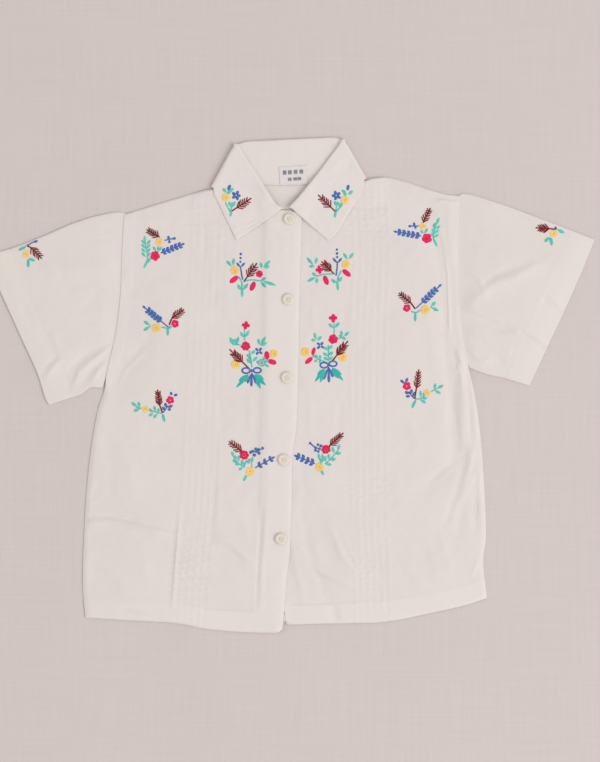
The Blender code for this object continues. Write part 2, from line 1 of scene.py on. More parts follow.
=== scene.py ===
"""Looks of the embroidered shirt: thin cloth shells over the CAD solids, sewing and embroidery.

The tables and height functions of the solids are repeated here, in millimetres. Details are
placed in view units: 0.95 mm each, x to the right and y down, seen from straight above.
"""
import math
import random

import bmesh
import bpy
import numpy as np
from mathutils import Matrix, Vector
from mathutils.bvhtree import BVHTree


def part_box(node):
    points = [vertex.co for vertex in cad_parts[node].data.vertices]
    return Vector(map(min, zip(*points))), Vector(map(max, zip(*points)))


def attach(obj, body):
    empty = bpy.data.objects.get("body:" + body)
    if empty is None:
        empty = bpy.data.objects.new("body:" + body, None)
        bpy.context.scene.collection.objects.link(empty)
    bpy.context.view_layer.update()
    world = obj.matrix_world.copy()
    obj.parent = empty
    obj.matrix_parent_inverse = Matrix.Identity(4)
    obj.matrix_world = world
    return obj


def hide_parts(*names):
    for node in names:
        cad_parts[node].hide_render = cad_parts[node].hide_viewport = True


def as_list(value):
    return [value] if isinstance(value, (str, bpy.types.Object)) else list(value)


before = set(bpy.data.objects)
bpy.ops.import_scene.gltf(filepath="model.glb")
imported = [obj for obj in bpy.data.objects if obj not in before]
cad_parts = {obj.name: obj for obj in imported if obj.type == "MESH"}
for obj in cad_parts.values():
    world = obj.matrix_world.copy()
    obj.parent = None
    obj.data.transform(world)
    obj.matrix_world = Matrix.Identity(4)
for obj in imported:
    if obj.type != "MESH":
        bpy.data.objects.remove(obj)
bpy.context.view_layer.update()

MM = 0.001

WALL = 1.0
SEAM_GAP = 0.3
LAYER = WALL + SEAM_GAP
SEAM_SETBACK = 0.6
HEM_STEP = 1.6
ARMHOLE_SEAM = 9.5
SLEEVE_HEM = 24.7
TUCKS = 6
TUCK_PITCH = 6.6
PUFF = 1.9
PUFF_REACH = 55.0
OVERLAP_LIFT = 1.7
COLLAR_LIFT = LAYER
SLEEVE_HEIGHT = 2.6
SLEEVE_PUFF = 1.7

# Edges of the panels, seen from above
RIGHT_SIDE = [  # x, y: side seam from the hem to the armpit, then armhole to the shoulder
    (-193.8, -220.6), (-196.4, -187), (-194.1, -122), (-189.5, -69), (-181.6, -22),
    (-175.5, -4), (-169.6, 23), (-164, 46), (-158.5, 94), (-157.5, 126),
    (-155.3, 162.7)]
LEFT_SIDE = [  # x, y
    (187.5, -202.1), (184, -165.3), (186.7, -144), (184.9, -94.3), (179.5, -30.5),
    (176, -9.2), (170.1, 15.9), (163.9, 41.1), (159.2, 89.9), (159, 130.4), (160, 180.1)]
RIGHT_HEM = [  # x, y
    (-196.4, -220.4), (-155.9, -223), (-111.6, -225.6), (-76.1, -231.8), (-40.6, -234.5),
    (-12.2, -235.3), (-6.6, -231.5)]
LEFT_HEM = [  # x, y
    (-4.8, -224.5), (-1.4, -227.4), (25.2, -226.5), (78.4, -225.6), (96.1, -223.9),
    (131.6, -216.8), (167.2, -208.7), (187.5, -202.1)]
BACK_HEM = [  # x, y: hidden, just inside the hems of the fronts
    (-196.4, -219.9), (-155.9, -222), (-76.1, -226.5), (-12.2, -226), (78.4, -223.8),
    (131.6, -215.6), (187.5, -201.6)]
RIGHT_TOP = [  # x, y: shoulder seam to the neck point, then the neckline
    (-155.3, 162.7), (-112.9, 176), (-84, 184.2), (-78, 185.5), (-72, 186.5),
    (-54.6, 194), (-47, 183.6), (-32.8, 173.2), (-13.8, 167.5), (11.9, 163.7)]
LEFT_TOP = [  # x, y
    (-17.6, 167), (5, 166.6), (20, 168.5), (35, 176), (47, 188), (53.7, 198.8),
    (62, 196.4), (70.9, 194.5), (76.5, 195.9), (84, 197.2), (91, 197.7), (107.3, 194.3),
    (131.6, 186.2), (151.8, 180.9), (160, 180.1)]
BACK_NECK = [  # x, y
    (-54.6, 194), (-35, 191.6), (0, 190.5), (30, 192.5), (45, 196.2), (53.7, 198.8)]
OVER_EDGE = [  # x, y: free edge of the right front, which lies on top
    (-6.6, -231.5), (-2.4, -181.2), (0.5, -154.6), (2.2, -105.2), (2.6, -69.1), (6.6, -39.6),
    (8.5, 24), (9.5, 81), (11.9, 163.7)]
UNDER_EDGE = [(-4.8, -226.8), (-17.6, -147), (-17.6, 167)]  # x, y: hidden edge, left front
FACING_EDGE = [  # x, y: inner edge of the right front's facing
    (-36, -231), (-34.4, -207.8), (-30.9, -172.4), (-29.1, -108.5), (-25.6, -17.8),
    (-23.7, 77.7), (-23, 167)]
RIGHT_TUCK = [  # x, y: the tuck nearest the side seam
    (-113.1, -224), (-108.8, -165), (-103.6, -119.4), (-98.7, -21.6), (-96.6, 49.7),
    (-94.5, 105.7), (-91.7, 177)]
LEFT_TUCK = [  # x, y
    (97.1, -216.8), (96.1, -172.6), (93.6, -119.4), (93.6, -66.2), (92.6, 5), (93.1, 49.7),
    (96.1, 130.4), (94.1, 171.3)]

# Edges of the sleeves: fold from the shoulder to the cuff, cuff, underarm and armhole
RIGHT_SLEEVE = {  # x, y
    "fold": [(-155.9, 163), (-161.5, 164.4), (-183.8, 160.8), (-206.1, 153.7),
             (-234.5, 141.5), (-275, 126.7), (-289.8, 123.3)],
    "cuff": [(-289.8, 123.3), (-275, 89.9), (-254.8, 45.3), (-238.5, 8.8), (-231, -14.5),
             (-228.4, -18.5)],
    "underarm": [(-177.4, -2.2), (-187.9, -2), (-198, -8.5), (-214.2, -13.5),
                 (-228.4, -18.5)],
    "armhole": [(-155.9, 163), (-158.1, 126), (-159.1, 94), (-164.6, 46),
                (-170.2, 23), (-177.4, -2.2)]}
LEFT_SLEEVE = {  # x, y
    "fold": [(160.7, 180.6), (164.6, 182), (192.4, 175), (228.9, 161.9), (261.3, 149.7),
             (289.7, 138.5)],
    "cuff": [(289.7, 138.5), (277.5, 108.1), (261.3, 71.6), (245.1, 37.1), (227.9, -0.3)],
    "underarm": [(170.9, 16.4), (186.3, 10.8), (204.5, 6.7), (227.9, -0.3)],
    "armhole": [(160.7, 180.6), (159.7, 130.4), (159.9, 89.9), (164.6, 41.1), (170.9, 16.4)]}

# The collar from the right centre front, round the back, to the left centre front
RIGHT_LEAF = [  # neck x, roll x, roll y, outer edge x, outer edge y
    (-8.4, -4.8, 167.4, -50.4, 137.6),
    (-17, -12.6, 171.5, -56.2, 149.4),
    (-26, -19.6, 181.2, -61.6, 160.6),
    (-37, -29.4, 197, -67, 172),
    (-46, -40.8, 214.2, -71.6, 181.8)]
LEFT_LEAF = [  # neck x, roll x, roll y, outer edge x, outer edge y
    (50, 46.6, 227, 70.6, 190.4),
    (45.5, 40, 218.4, 69, 184.4),
    (37, 29, 203.6, 61.8, 172.4),
    (25, 17.8, 189.4, 53.6, 158.8),
    (14, 7.4, 176.8, 45.2, 145),
    (5, -0.4, 168.6, 36.6, 137.2)]
RIGHT_CORNER = {"neck": (-54.4, 195.4), "roll": (-52.3, 229.6), "edge": (-74.8, 188.6)}
LEFT_CORNER = {"neck": (53.6, 200), "roll": (51.9, 233.9), "edge": (73.2, 196.2)}
BACK_COLLAR = [  # x at the neck and the roll, roll y, outer edge y
    (-40, 231.2, 187.6), (-26, 231.9, 187), (-12, 232.6, 186.8), (2, 233.3, 186.9),
    (16, 234, 187.2), (29, 234.6, 188.2), (41, 235.1, 190)]
STAND_FOLD = 0.65
FALL_FOLD = 2.4
LEAF_GAP = 0.35
LEAF_RISE = 1.0
FRONT_STAND_RISE = 0.9
BACK_STAND_RISE = 0.6
BACK_ARCH = 0.8
ROLL_REACH = 1.5
STAND_PARTS = (0, 0.33, 0.67, 1)
FALL_PARTS = (0, 0.15, 0.4, 0.7, 0.97, 1)

LABEL = {"centre": (3.8, 199.4), "width": 26.8, "height": 17.4, "turn": 3.6}

BUTTON_WIDTH = 11.4
BUTTON_THICKNESS = 2.2
BUTTONS = [  # x, y, turn in degrees
    (-0.5, 158, 20), (-1.6, 81.5, -12), (-2.8, 7.4, 33), (-5.7, -70.5, 8),
    (-8.3, -145.5, -25)]

# The largest folds of the laid cloth: a row is a line in x and y, its half width and height
RIGHT_FRONT_FOLDS = [
    ([(-166.7, 0.7), (-155.3, 18.9), (-139.2, 35.4)], 8, -1.1),
    ([(-192, -126.5), (-170.5, -124.5), (-150.6, -129.5), (-125.9, -136)], 9, 1.1),
    ([(-63, -146), (-48, -156), (-33, -168)], 8, 0.9)]
LEFT_FRONT_FOLDS = [
    ([(142, 130.4), (149.6, 99.3), (153.9, 27.8), (158, -52), (159.1, -67.2)], 7.5, -1.4),
    ([(164.5, 30), (168, -20), (171, -62)], 8, 1.3),
    ([(157, -74), (143, -85), (129.7, -96.6)], 8, -0.9),
    ([(39.4, -133.4), (49.9, -161.7), (60.7, -174)], 8, 0.9)]
RIGHT_SLEEVE_FOLDS = [
    ([(-214, 2), (-200, 23.1), (-183.8, 37.3)], 8, -1),
    ([(-207, 108), (-190, 112), (-172, 113)], 9, 0.7)]
LEFT_SLEEVE_FOLDS = [
    ([(172.1, 77.7), (192.4, 95.9), (212.7, 102), (232.9, 114.3)], 8, 1.2),
    ([(166.1, 62.5), (182.3, 60.5), (198.5, 54.4)], 8, -1)]

# Finer creases: half width and height in mm, then x and y of each place in view units
RIGHT_FRONT_CREASES = [
    (1.7, -0.6, 111, 388, 122.5, 366, 142, 346), (2.2, 0.4, 115, 390, 127, 368, 146, 350),
    (2.2, 0.6, 84, 521.5, 110, 521, 131, 525, 157, 531.5, 180, 535),
    (1.9, -0.5, 84, 516.5, 110, 516, 131, 520, 157, 526.5, 178, 530),
    (3.4, -0.22, 84, 536, 104, 531, 124, 535), (2.6, 0.22, 96, 570, 118, 574),
    (2.2, 0.4, 129.7, 609.7, 149.7, 618), (3.0, 0.4, 222.5, 538.8, 237.4, 550, 254, 563),
    (2.6, -0.25, 226, 548, 243, 560), (2.4, 0.35, 269, 227, 289, 240, 300, 246),
    (2.2, -0.25, 268, 238, 268.5, 256), (2.2, 0.2, 284, 238, 284, 255),
    (3.0, 0.2, 228, 290, 229, 322), (3.0, -0.2, 220, 395, 222, 440), (2.6, 0.2, 250, 395, 251, 436),
    (3.4, -0.18, 215, 478, 212.5, 510, 210.5, 545), (3.0, 0.15, 220, 480, 217, 530),
    (1.8, -0.35, 263, 496, 258.5, 560, 255.5, 612), (2.0, 0.3, 267, 496, 262.5, 560, 260, 612),
    (1.4, -0.35, 200, 607, 226, 609.5, 252, 610), (1.5, -0.55, 122, 607, 138, 611, 152, 617),
    (1.5, 0.3, 181, 500, 176.5, 555, 172.6, 610), (1.5, -0.2, 177.5, 500, 173, 555, 169, 610),
    (5.0, 0.3, 120, 440, 131, 470, 134, 505), (4.5, -0.22, 146, 300, 150, 345),
    (5.0, 0.3, 100, 560, 120, 578, 128, 597), (2.6, -0.18, 205, 225, 205, 262),
    (1.8, 0.28, 183, 205, 196, 209, 214, 207), (1.8, -0.25, 181, 221, 199, 224, 218, 221),
    (1.8, 0.22, 196, 236, 214, 240, 226, 238), (1.7, 0.25, 183, 560, 200, 563, 219, 560),
    (1.7, -0.25, 182, 575, 198, 577, 216, 576), (1.7, 0.25, 180, 588, 196, 592, 214, 590),
    (3.2, 0.25, 128, 216, 150, 222, 170, 220), (4.0, -0.2, 140, 268, 160, 276, 182, 272),
    (5.0, -0.25, 104, 430, 112, 470, 110, 500), (4.5, 0.2, 140, 540, 150, 590),
    (3.4, 0.25, 228, 500, 244, 520, 250, 545), (2.6, -0.2, 262, 455, 258, 500, 262, 560)]
LEFT_FRONT_CREASES = [
    (2.0, -0.7, 437, 226, 439.5, 246, 443, 269, 444.5, 301, 446, 333, 447.2, 355, 449, 376,
     451.4, 408, 453.6, 440, 455, 458),
    (2.0, 0.5, 441, 232, 444.5, 252, 447, 275, 448.4, 310, 449.5, 345, 451.5, 376),
    (1.4, -0.5, 452, 356, 455.5, 370), (1.5, 0.5, 457, 350, 462, 364, 466, 372),
    (1.6, -0.5, 428, 194, 445, 198, 459, 198.5), (1.7, 0.4, 432, 203, 446, 202, 456, 205),
    (2.2, -0.25, 420, 208, 436, 214), (1.6, -0.3, 286, 603.5, 320, 603, 358, 601),
    (3.0, -0.7, 466, 458, 457, 490, 445, 525), (2.6, 0.4, 475, 442, 468, 470, 460, 505),
    (4.0, -0.35, 300, 505, 312.5, 565, 335, 622),
    (1.8, 0.45, 457, 376, 459, 408, 461, 440, 461.6, 466), (2.6, -0.35, 434, 232, 441, 250),
    (2.0, 0.4, 447, 362, 455, 371, 461, 366), (5.0, 0.22, 424, 300, 432, 340, 436, 372),
    (4.5, 0.2, 395, 470, 402, 520), (4.5, 0.25, 405, 560, 425, 590), (4.0, 0.3, 440, 530, 452, 575),
    (2.2, 0.3, 480, 470, 481, 520), (3.4, -0.3, 462, 500, 457, 540),
    (1.6, 0.25, 357, 486, 372, 489, 389, 487), (1.6, -0.22, 356, 476, 370, 478, 388, 476),
    (1.6, 0.3, 350, 196, 368, 200, 386, 199), (1.6, -0.3, 347, 207, 366, 209, 388, 206),
    (1.7, 0.28, 346, 217, 362, 220, 385, 219), (1.7, -0.22, 350, 229, 370, 231, 388, 229),
    (3.0, 0.25, 305, 540, 325, 560), (3.0, -0.2, 300, 455, 306, 500),
    (2.0, 0.45, 461, 368, 463, 410, 464, 448), (1.9, -0.35, 467, 361, 469, 400, 471, 452),
    (2.0, 0.4, 473, 368, 475.5, 410, 477, 446), (1.8, -0.3, 480, 385, 482, 440),
    (1.7, -0.25, 454, 461, 440, 472, 426, 484), (2.2, 0.15, 458, 464, 443, 476, 428, 489),
    (2.4, -0.4, 459, 460, 467, 451), (3.4, 0.4, 463.6, 466, 458, 488, 448.6, 518),
    (2.6, 0.3, 474.8, 468, 465.5, 496), (3.0, -0.35, 474.8, 492, 474.8, 535),
    (2.6, 0.3, 478.5, 559, 471, 578), (2.4, 0.5, 331, 525.7, 342, 555.6, 353.4, 568.6),
    (1.8, -0.4, 335, 524, 346, 553.6, 357, 566), (1.8, 0.5, 312.3, 567, 325.4, 575.5, 353, 586),
    (1.8, -0.45, 314, 572, 326, 580.5, 353, 591), (2.6, 0.35, 294, 560, 302, 590, 304, 612),
    (2.2, -0.3, 288, 540, 290, 575), (2.2, 0.3, 312, 570.5, 318, 591),
    (2.6, -0.6, 333.5, 603, 336.5, 622), (1.8, -0.35, 436.5, 194.7, 457.9, 200),
    (1.8, 0.3, 436.5, 201, 447, 199), (3.0, 0.2, 312, 300, 313, 330),
    (2.6, -0.2, 345, 300, 344, 340), (3.0, 0.22, 310, 395, 311, 438),
    (2.8, -0.2, 340, 400, 338, 440), (5.0, 0.3, 410, 420, 418, 455),
    (5.0, -0.25, 420, 540, 430, 575), (2.4, 0.2, 322, 232, 322, 246)]
RIGHT_SLEEVE_CREASES = [
    (2.5, -0.5, 64, 388, 72, 368, 86, 355, 115, 339), (2.3, -0.5, 81, 388, 90, 371, 111, 353),
    (2.4, 0.5, 72, 390, 80, 371, 96, 358, 116, 345), (2.2, 0.4, 90, 384, 99, 371, 113, 360),
    (1.4, -0.4, 96, 350.5, 118, 339.5), (2.0, -0.45, 39, 377, 48, 364, 59, 355),
    (2.3, 0.45, 44, 381, 53, 368, 63, 358), (1.5, -0.4, 92, 240.5, 108, 239, 125, 238.4),
    (2.6, -0.2, 95, 232, 116, 229), (4.0, -0.25, 20, 300, 34, 330), (4.0, 0.25, 52, 330, 60, 352),
    (5.0, 0.25, 108, 262, 126, 285, 128, 312), (3.0, 0.3, 71, 291, 94, 290),
    (5.0, 0.3, 40, 262, 60, 276), (5.0, -0.25, 75, 312, 100, 300)]
LEFT_SLEEVE_CREASES = [
    (3.4, 0.3, 470.7, 303.5, 492, 284.3, 513.4, 277.9, 534.7, 265, 547.5, 263),
    (3.4, -0.9, 464, 317, 482, 321, 500, 327, 516, 330), (4.5, -0.3, 498, 272, 520, 266, 545, 257),
    (2.4, 0.35, 466, 312, 484, 316, 504, 323), (1.7, -0.5, 462, 352, 470, 362, 480, 369),
    (1.9, 0.4, 466, 347, 476, 357, 488, 363), (2.6, 0.4, 470.7, 246, 486, 250, 500.6, 256.5),
    (1.8, -0.75, 519, 333, 533, 340, 547, 350), (2.0, 0.4, 522, 330, 548, 345),
    (1.8, -0.7, 541, 300, 552, 306, 561, 313), (2.0, 0.35, 545, 296, 563, 307),
    (3.6, -0.35, 478, 290, 496, 275, 516, 268), (3.5, 0.3, 500, 345, 512, 352),
    (2.6, 0.3, 466, 268, 480, 280, 486, 300), (3.6, 0.25, 500, 300, 520, 310, 532, 322),
    (3.2, -0.3, 472, 340, 490, 350, 505, 366), (2.6, -0.3, 465, 222, 482, 232),
    (3.0, -0.25, 520, 240, 536, 252, 550, 256), (2.2, 0.35, 476, 362, 492, 360)]
COLLAR_CREASES = [
    (1.3, -0.3, 223, 226, 232, 222, 246, 223, 256, 219), (1.4, 0.25, 228, 231, 240, 227),
    (1.2, -0.35, 318, 144, 330, 146, 343, 141), (1.5, -0.25, 232, 153, 246, 160, 249, 168),
    (1.6, 0.2, 268, 165, 284, 168), (1.4, -0.25, 274, 186, 286, 188),
    (1.5, 0.22, 322, 184, 334, 178, 345, 180), (1.3, -0.25, 262, 208, 270, 204, 277, 206),
    (1.2, 0.2, 240, 214, 252, 211), (1.3, 0.25, 317, 222, 328, 226, 334, 234),
    (1.2, -0.22, 322, 236, 331, 240), (1.3, -0.2, 237, 143, 262, 146, 290, 143),
    (1.3, 0.22, 238, 168, 242, 180), (1.8, 0.3, 262, 146, 263, 162), (1.6, 0.25, 279, 145, 281, 158),
    (1.8, 0.3, 293, 146, 294, 160), (1.6, 0.3, 308, 144, 309, 156),
    (1.3, 0.4, 320, 146, 332, 143, 340, 145), (1.2, 0.3, 327, 152, 338, 149),
    (1.6, 0.22, 226.8, 222, 239.5, 222.7), (1.6, 0.22, 254.8, 214.4, 263.8, 215.7),
    (2.2, 0.18, 243, 158, 252, 172), (2.2, 0.18, 330, 172, 340, 160),
    (1.8, -0.2, 352, 160, 346, 172), (2.4, 0.15, 300, 148, 322, 150),
    (1.4, -0.25, 322, 143, 338, 148), (1.4, 0.2, 326, 149, 336, 156),
    (2.2, 0.15, 252, 148, 256, 166), (1.6, -0.2, 246, 228, 262, 221), (1.8, 0.2, 312, 214, 322, 230),
    (1.6, -0.2, 300, 206, 316, 212), (1.8, 0.2, 340, 222, 352, 206), (1.8, 0.18, 256, 180, 266, 196)]

CREASE_DEPTH = 2.5        # factor on the heights of the finer creases
UNIT = 0.95               # mm in a view unit
VIEW_CENTRE = (289.5, 385.3)
CLOTH = 0.4               # thickness of one layer of the thin cloth
DOUBLE = 0.8              # and of a turned hem or facing
LOOSE = 0.05              # air between layers that touch
EDGE_ROLL = 5.0           # width of the rounded side of a front
HEM_ROLL = 3.2            # of its rounded hem
SHOULDER_ROLL = 2.6       # and of its shoulder seam
ARMHOLE_ROLL = 3.0        # width over which a front thins towards its armhole seam
ARMHOLE_REACH = 1.5       # how far the fronts reach over the sleeves at the seam
SEAM_HEIGHT = 1.8         # of the sleeve where it comes out from under the front
TUCK_HEIGHT = 0.14        # of the tucks in the thin cloth, which were pressed flat
BAND_HEIGHT = 0.14        # of the hems and facing over the single cloth beside them
DEEPEST = -0.6            # lowest place of a crease under the cloth around it
FRONT_NECK = 169          # y from which the fronts rise to the collar
BACK_NECK_START = 173     # and the back


def spots(x, y, z):
    """Arrays of x, y and z as one array of points."""
    return np.stack([x, y, z], axis=-1)


def steps_along(line):
    """Lengths of the pieces of a line of points."""
    return np.hypot(*np.diff(np.array(line, float), axis=0).T)


def smooth_graph(keys, values):
    """A curve through the values, with no overshoot, as a function of arrays of keys."""
    keys = np.array(keys, float)
    values = np.array(values, float)
    step = np.diff(keys)
    rise = np.diff(values) / step
    slope = np.zeros(len(keys))
    slope[0] = rise[0]
    slope[-1] = rise[-1]
    same = rise[:-1] * rise[1:] > 0
    total = np.where(same, rise[:-1] + rise[1:], 1.0)
    slope[1:-1] = np.where(same, 2 * rise[:-1] * rise[1:] / total, 0.0)

    def at(key):
        key = np.clip(np.asarray(key, float), keys[0], keys[-1])
        i = np.clip(np.searchsorted(keys, key, "right") - 1, 0, len(step) - 1)
        s = (key - keys[i]) / step[i]
        return (values[i] * (1 + 2 * s) * (1 - s) ** 2
                + slope[i] * step[i] * s * (1 - s) ** 2
                + values[i + 1] * s * s * (3 - 2 * s)
                + slope[i + 1] * step[i] * s * s * (s - 1))

    return at


def x_of_y(points):
    ordered = sorted(points, key=lambda point: point[1])
    return smooth_graph([y for _, y in ordered], [x for x, _ in ordered])


def y_of_x(points):
    return smooth_graph([x for x, _ in points], [y for _, y in points])


def outline_of(points):
    """A smooth curve in the plane: x and y as functions of the part of its length."""
    places = np.array(points, float)
    lengths = np.concatenate([[0], np.cumsum(steps_along(places))])
    parts = lengths / lengths[-1]
    x_at = smooth_graph(parts, places[:, 0])
    y_at = smooth_graph(parts, places[:, 1])
    return lambda part: np.array([x_at(part), y_at(part)])


def ease(value):
    value = np.clip(value, 0.0, 1.0)
    return value * value * (3 - 2 * value)


def along_line(line, x, y):
    """Distance to a line of points, and the part of its length at the nearest place."""
    nearest = np.full(np.shape(x), 1e9)
    part = np.zeros(np.shape(x))
    line = np.array(line, float)
    lengths = steps_along(line)
    starts = np.concatenate([[0], np.cumsum(lengths)])
    for k, length in enumerate(lengths):
        dx, dy = line[k + 1] - line[k]
        along = np.clip(((x - line[k, 0]) * dx + (y - line[k, 1]) * dy) / length ** 2, 0, 1)
        distance = np.hypot(x - line[k, 0] - along * dx, y - line[k, 1] - along * dy)
        closer = distance < nearest
        nearest = np.where(closer, distance, nearest)
        part = np.where(closer, (starts[k] + along * length) / starts[-1], part)
    return nearest, part


def folds_at(folds, x, y):
    """Height of the broad folds, each the same along all its line."""
    return sum(height * np.exp(-(along_line(line, x, y)[0] / width) ** 2)
               for line, width, height in folds)


def to_plan(line):
    """Points in view units as millimetres from the centre."""
    line = np.array(line, float)
    return np.stack([(line[..., 0] - VIEW_CENTRE[0]) * UNIT,
                     (VIEW_CENTRE[1] - line[..., 1]) * UNIT], axis=-1)


def to_view(x, y):
    """A place in millimetres from the centre, in view units."""
    return x / UNIT + VIEW_CENTRE[0], VIEW_CENTRE[1] - y / UNIT


def creases_at(creases, x, y):
    """Soft creases that fade out towards both their ends."""
    total = np.zeros(np.shape(x))
    for width, height, *places in creases:
        distance, part = along_line(to_plan(np.reshape(places, (-1, 2))), x, y)
        fade = np.clip(4 * part * (1 - part), 0, 1) ** 0.7
        total += CREASE_DEPTH * height * fade * np.exp(-(distance / width) ** 2)
    return total


def ripples(seed, count, shortest, longest, stretch=1.0):
    """An uneven gentle surface from -1 to 1: waves of random length, direction and phase."""
    draw = random.Random(seed)
    waves = []
    for _ in range(count):
        length = math.exp(draw.uniform(math.log(shortest), math.log(longest)))
        turn = draw.uniform(0, math.pi)
        waves.append((2 * math.pi * math.cos(turn) / length,
                      2 * math.pi * math.sin(turn) * stretch / length,
                      draw.uniform(0, 2 * math.pi)))

    def at(x, y):
        return sum(np.sin(kx * x + ky * y + phase) for kx, ky, phase in waves) / count ** 0.5 / 1.4

    return at


right_side = x_of_y(RIGHT_SIDE)
left_side = x_of_y(LEFT_SIDE)
right_hem = y_of_x(RIGHT_HEM)
left_hem = y_of_x(LEFT_HEM)
back_hem = y_of_x(BACK_HEM)
right_top = y_of_x(RIGHT_TOP)
left_top = y_of_x(LEFT_TOP)
back_neck = y_of_x(BACK_NECK)
over_edge = x_of_y(OVER_EDGE)
under_edge = x_of_y(UNDER_EDGE)
facing_edge = x_of_y(FACING_EDGE)
right_tuck = x_of_y(RIGHT_TUCK)
left_tuck = x_of_y(LEFT_TUCK)
broad = ripples(11, 26, 38, 120)
middling = ripples(12, 30, 14, 34)
fine = ripples(13, 30, 5, 12)
patches = ripples(14, 12, 30, 90)
streaks = ripples(15, 30, 5, 15, 0.05)


def right_edge(y):
    return right_side(y) - ARMHOLE_REACH * ease((y + 2) / 10)


def left_edge(y):
    return left_side(y) + ARMHOLE_REACH * ease((y - 14) / 10)


def back_top(x):
    return np.where(x < BACK_NECK[0][0], right_top(x),
                    np.where(x > BACK_NECK[-1][0], left_top(x), back_neck(x)))


def neck_lift(x, y, start):
    """Rise of the cloth near the neck, where it lies on the collar's fall."""
    return COLLAR_LIFT * ease((y - start) / 12) * ease((96 - np.abs(x)) / 18)


def puff(x, y):
    """The air under the fronts, most in the middle of the body."""
    across = ease((x - right_side(y)) / PUFF_REACH) * ease((left_side(y) - x) / PUFF_REACH)
    along = ease((160 - y) / 60) * (0.35 + 0.65 * ease((y + 232) / 60))
    return PUFF * across * along


def overlap_lift(x, y):
    """Rise of the right front where it lies on the left one."""
    start = facing_edge(y) - 6
    end = under_edge(y) - 1
    return OVERLAP_LIFT * ease((x - start) / (end - start))


def cover(x, y):
    """Top of the fronts under the collar's leaves."""
    lift = OVERLAP_LIFT * ease((x + 34) / 14) * ease((26 - x) / 12)
    return neck_lift(x, y, FRONT_NECK) + LAYER + puff(x, y) + WALL + lift


def crumple(x, y):
    """Sharp little ridges that wander over the cloth and fade in and out."""
    ridge = 1 - np.clip(np.abs(middling(x + 9, y - 5)) * 2.2, 0, 1)
    return ridge ** 2 * np.clip(0.5 + patches(y, x + 60), 0, 1.2)


def cloth_noise(x, y):
    """Unevenness of washed cotton laid by hand, the same over all the pieces."""
    return (0.28 * broad(x, y) + 0.17 * middling(x, y) * (0.6 + 0.4 * patches(x, y))
            + 0.06 * fine(x, y) + 0.17 * crumple(x, y))


def centre_streaks(x, y):
    """Soft upright streaks on the panels beside the placket."""
    beside = ease((x + 70) / 8) * ease((70 - x) / 8)
    return 0.07 * beside * streaks(x, y) * np.clip(0.7 + 0.6 * patches(x, y + 20), 0.1, 1.4)


def inside(part, width):
    """0 at both ends of a span from 0 to 1, and 1 from width on."""
    return ease(part / width) * ease((1 - part) / width)


def rounded(distance, width):
    """0 at an edge and 1 from width on, with a round shoulder."""
    return np.sin(math.pi / 2 * np.clip(distance / width, 0, 1))


def put(name, data):
    """A new object in the scene."""
    obj = bpy.data.objects.new(name, data)
    bpy.context.scene.collection.objects.link(obj)
    return obj


def new_object(name, verts, faces):
    """A smooth mesh from points in millimetres."""
    mesh = bpy.data.meshes.new(name)
    mesh.from_pydata((np.asarray(verts) * MM).tolist(), [], faces)
    mesh.validate()
    mesh.shade_smooth()
    return put(name, mesh)


def points_of(mesh):
    """A mesh's points in metres, as rows of x, y and z."""
    points = np.empty(len(mesh.vertices) * 3)
    mesh.vertices.foreach_get("co", points)
    return points.reshape(-1, 3)


def add_attribute(obj, name, values):
    layer = obj.data.attributes.new(name, "FLOAT", "POINT")
    layer.data.foreach_set("value", np.asarray(values, np.float32).ravel())


def grid_faces(across, along, start=0, closed=False):
    """Quads of a grid whose point (i, j) has the index start + i * along + j."""
    count = across if closed else across - 1
    i, j = np.meshgrid(np.arange(count), np.arange(along - 1), indexing="ij")
    after = (i + 1) % across
    quads = np.stack([i * along + j, after * along + j, after * along + j + 1,
                      i * along + j + 1], axis=-1)
    return quads.reshape(-1, 4) + start


def rim_faces(across, along):
    """Quads between the borders of a top grid and of the bottom grid that follows it."""
    i = np.arange(across)
    j = np.arange(along)
    border = np.concatenate([i[:-1] * along, (across - 1) * along + j[:-1],
                             i[:0:-1] * along + along - 1, j[:0:-1]])
    after = np.roll(border, -1)
    below = across * along
    return np.stack([after, border, border + below, after + below], axis=-1)


def shell(name, top, bottom, tone):
    """A closed sheet between two grids of points, top and bottom, across by along by 3."""
    across, along = top.shape[:2]
    verts = np.concatenate([top.reshape(-1, 3), bottom.reshape(-1, 3)])
    upper = grid_faces(across, along)
    lower = grid_faces(across, along, across * along)[:, ::-1]
    faces = np.concatenate([upper, lower, rim_faces(across, along)])
    obj = new_object(name, verts, faces.tolist())
    add_attribute(obj, "tone", np.concatenate([tone.ravel(), tone.ravel()]))
    return obj


def plan_grid(anchors, columns, rows, bottom, top):
    """x and y of a panel's points: each column lies between two anchor lines."""
    xs = np.empty((len(columns), len(rows)))
    ys = np.empty((len(columns), len(rows)))
    for n, (k, part) in enumerate(columns):
        y = -200 + 380 * rows
        for _ in range(8):
            x = anchors[k](y) * (1 - part) + anchors[k + 1](y) * part
            y = bottom(x) + (top(x) - bottom(x)) * rows
        xs[n] = x
        ys[n] = y
    return xs, ys


def spread(counts):
    """Columns between anchors: a number of even steps, or a list of parts, for each gap."""
    columns = []
    for k, count in enumerate(counts):
        parts = [step / count for step in range(count)] if isinstance(count, int) else count
        columns += [(k, part) for part in parts]
    return columns + [(len(counts) - 1, 1.0)]


def rows_between(*stretches):
    """Parts of the height: rows of (start, end, count)."""
    found = [np.linspace(start, end, count, endpoint=False) for start, end, count in stretches]
    return np.concatenate(found + [[stretches[-1][1]]])


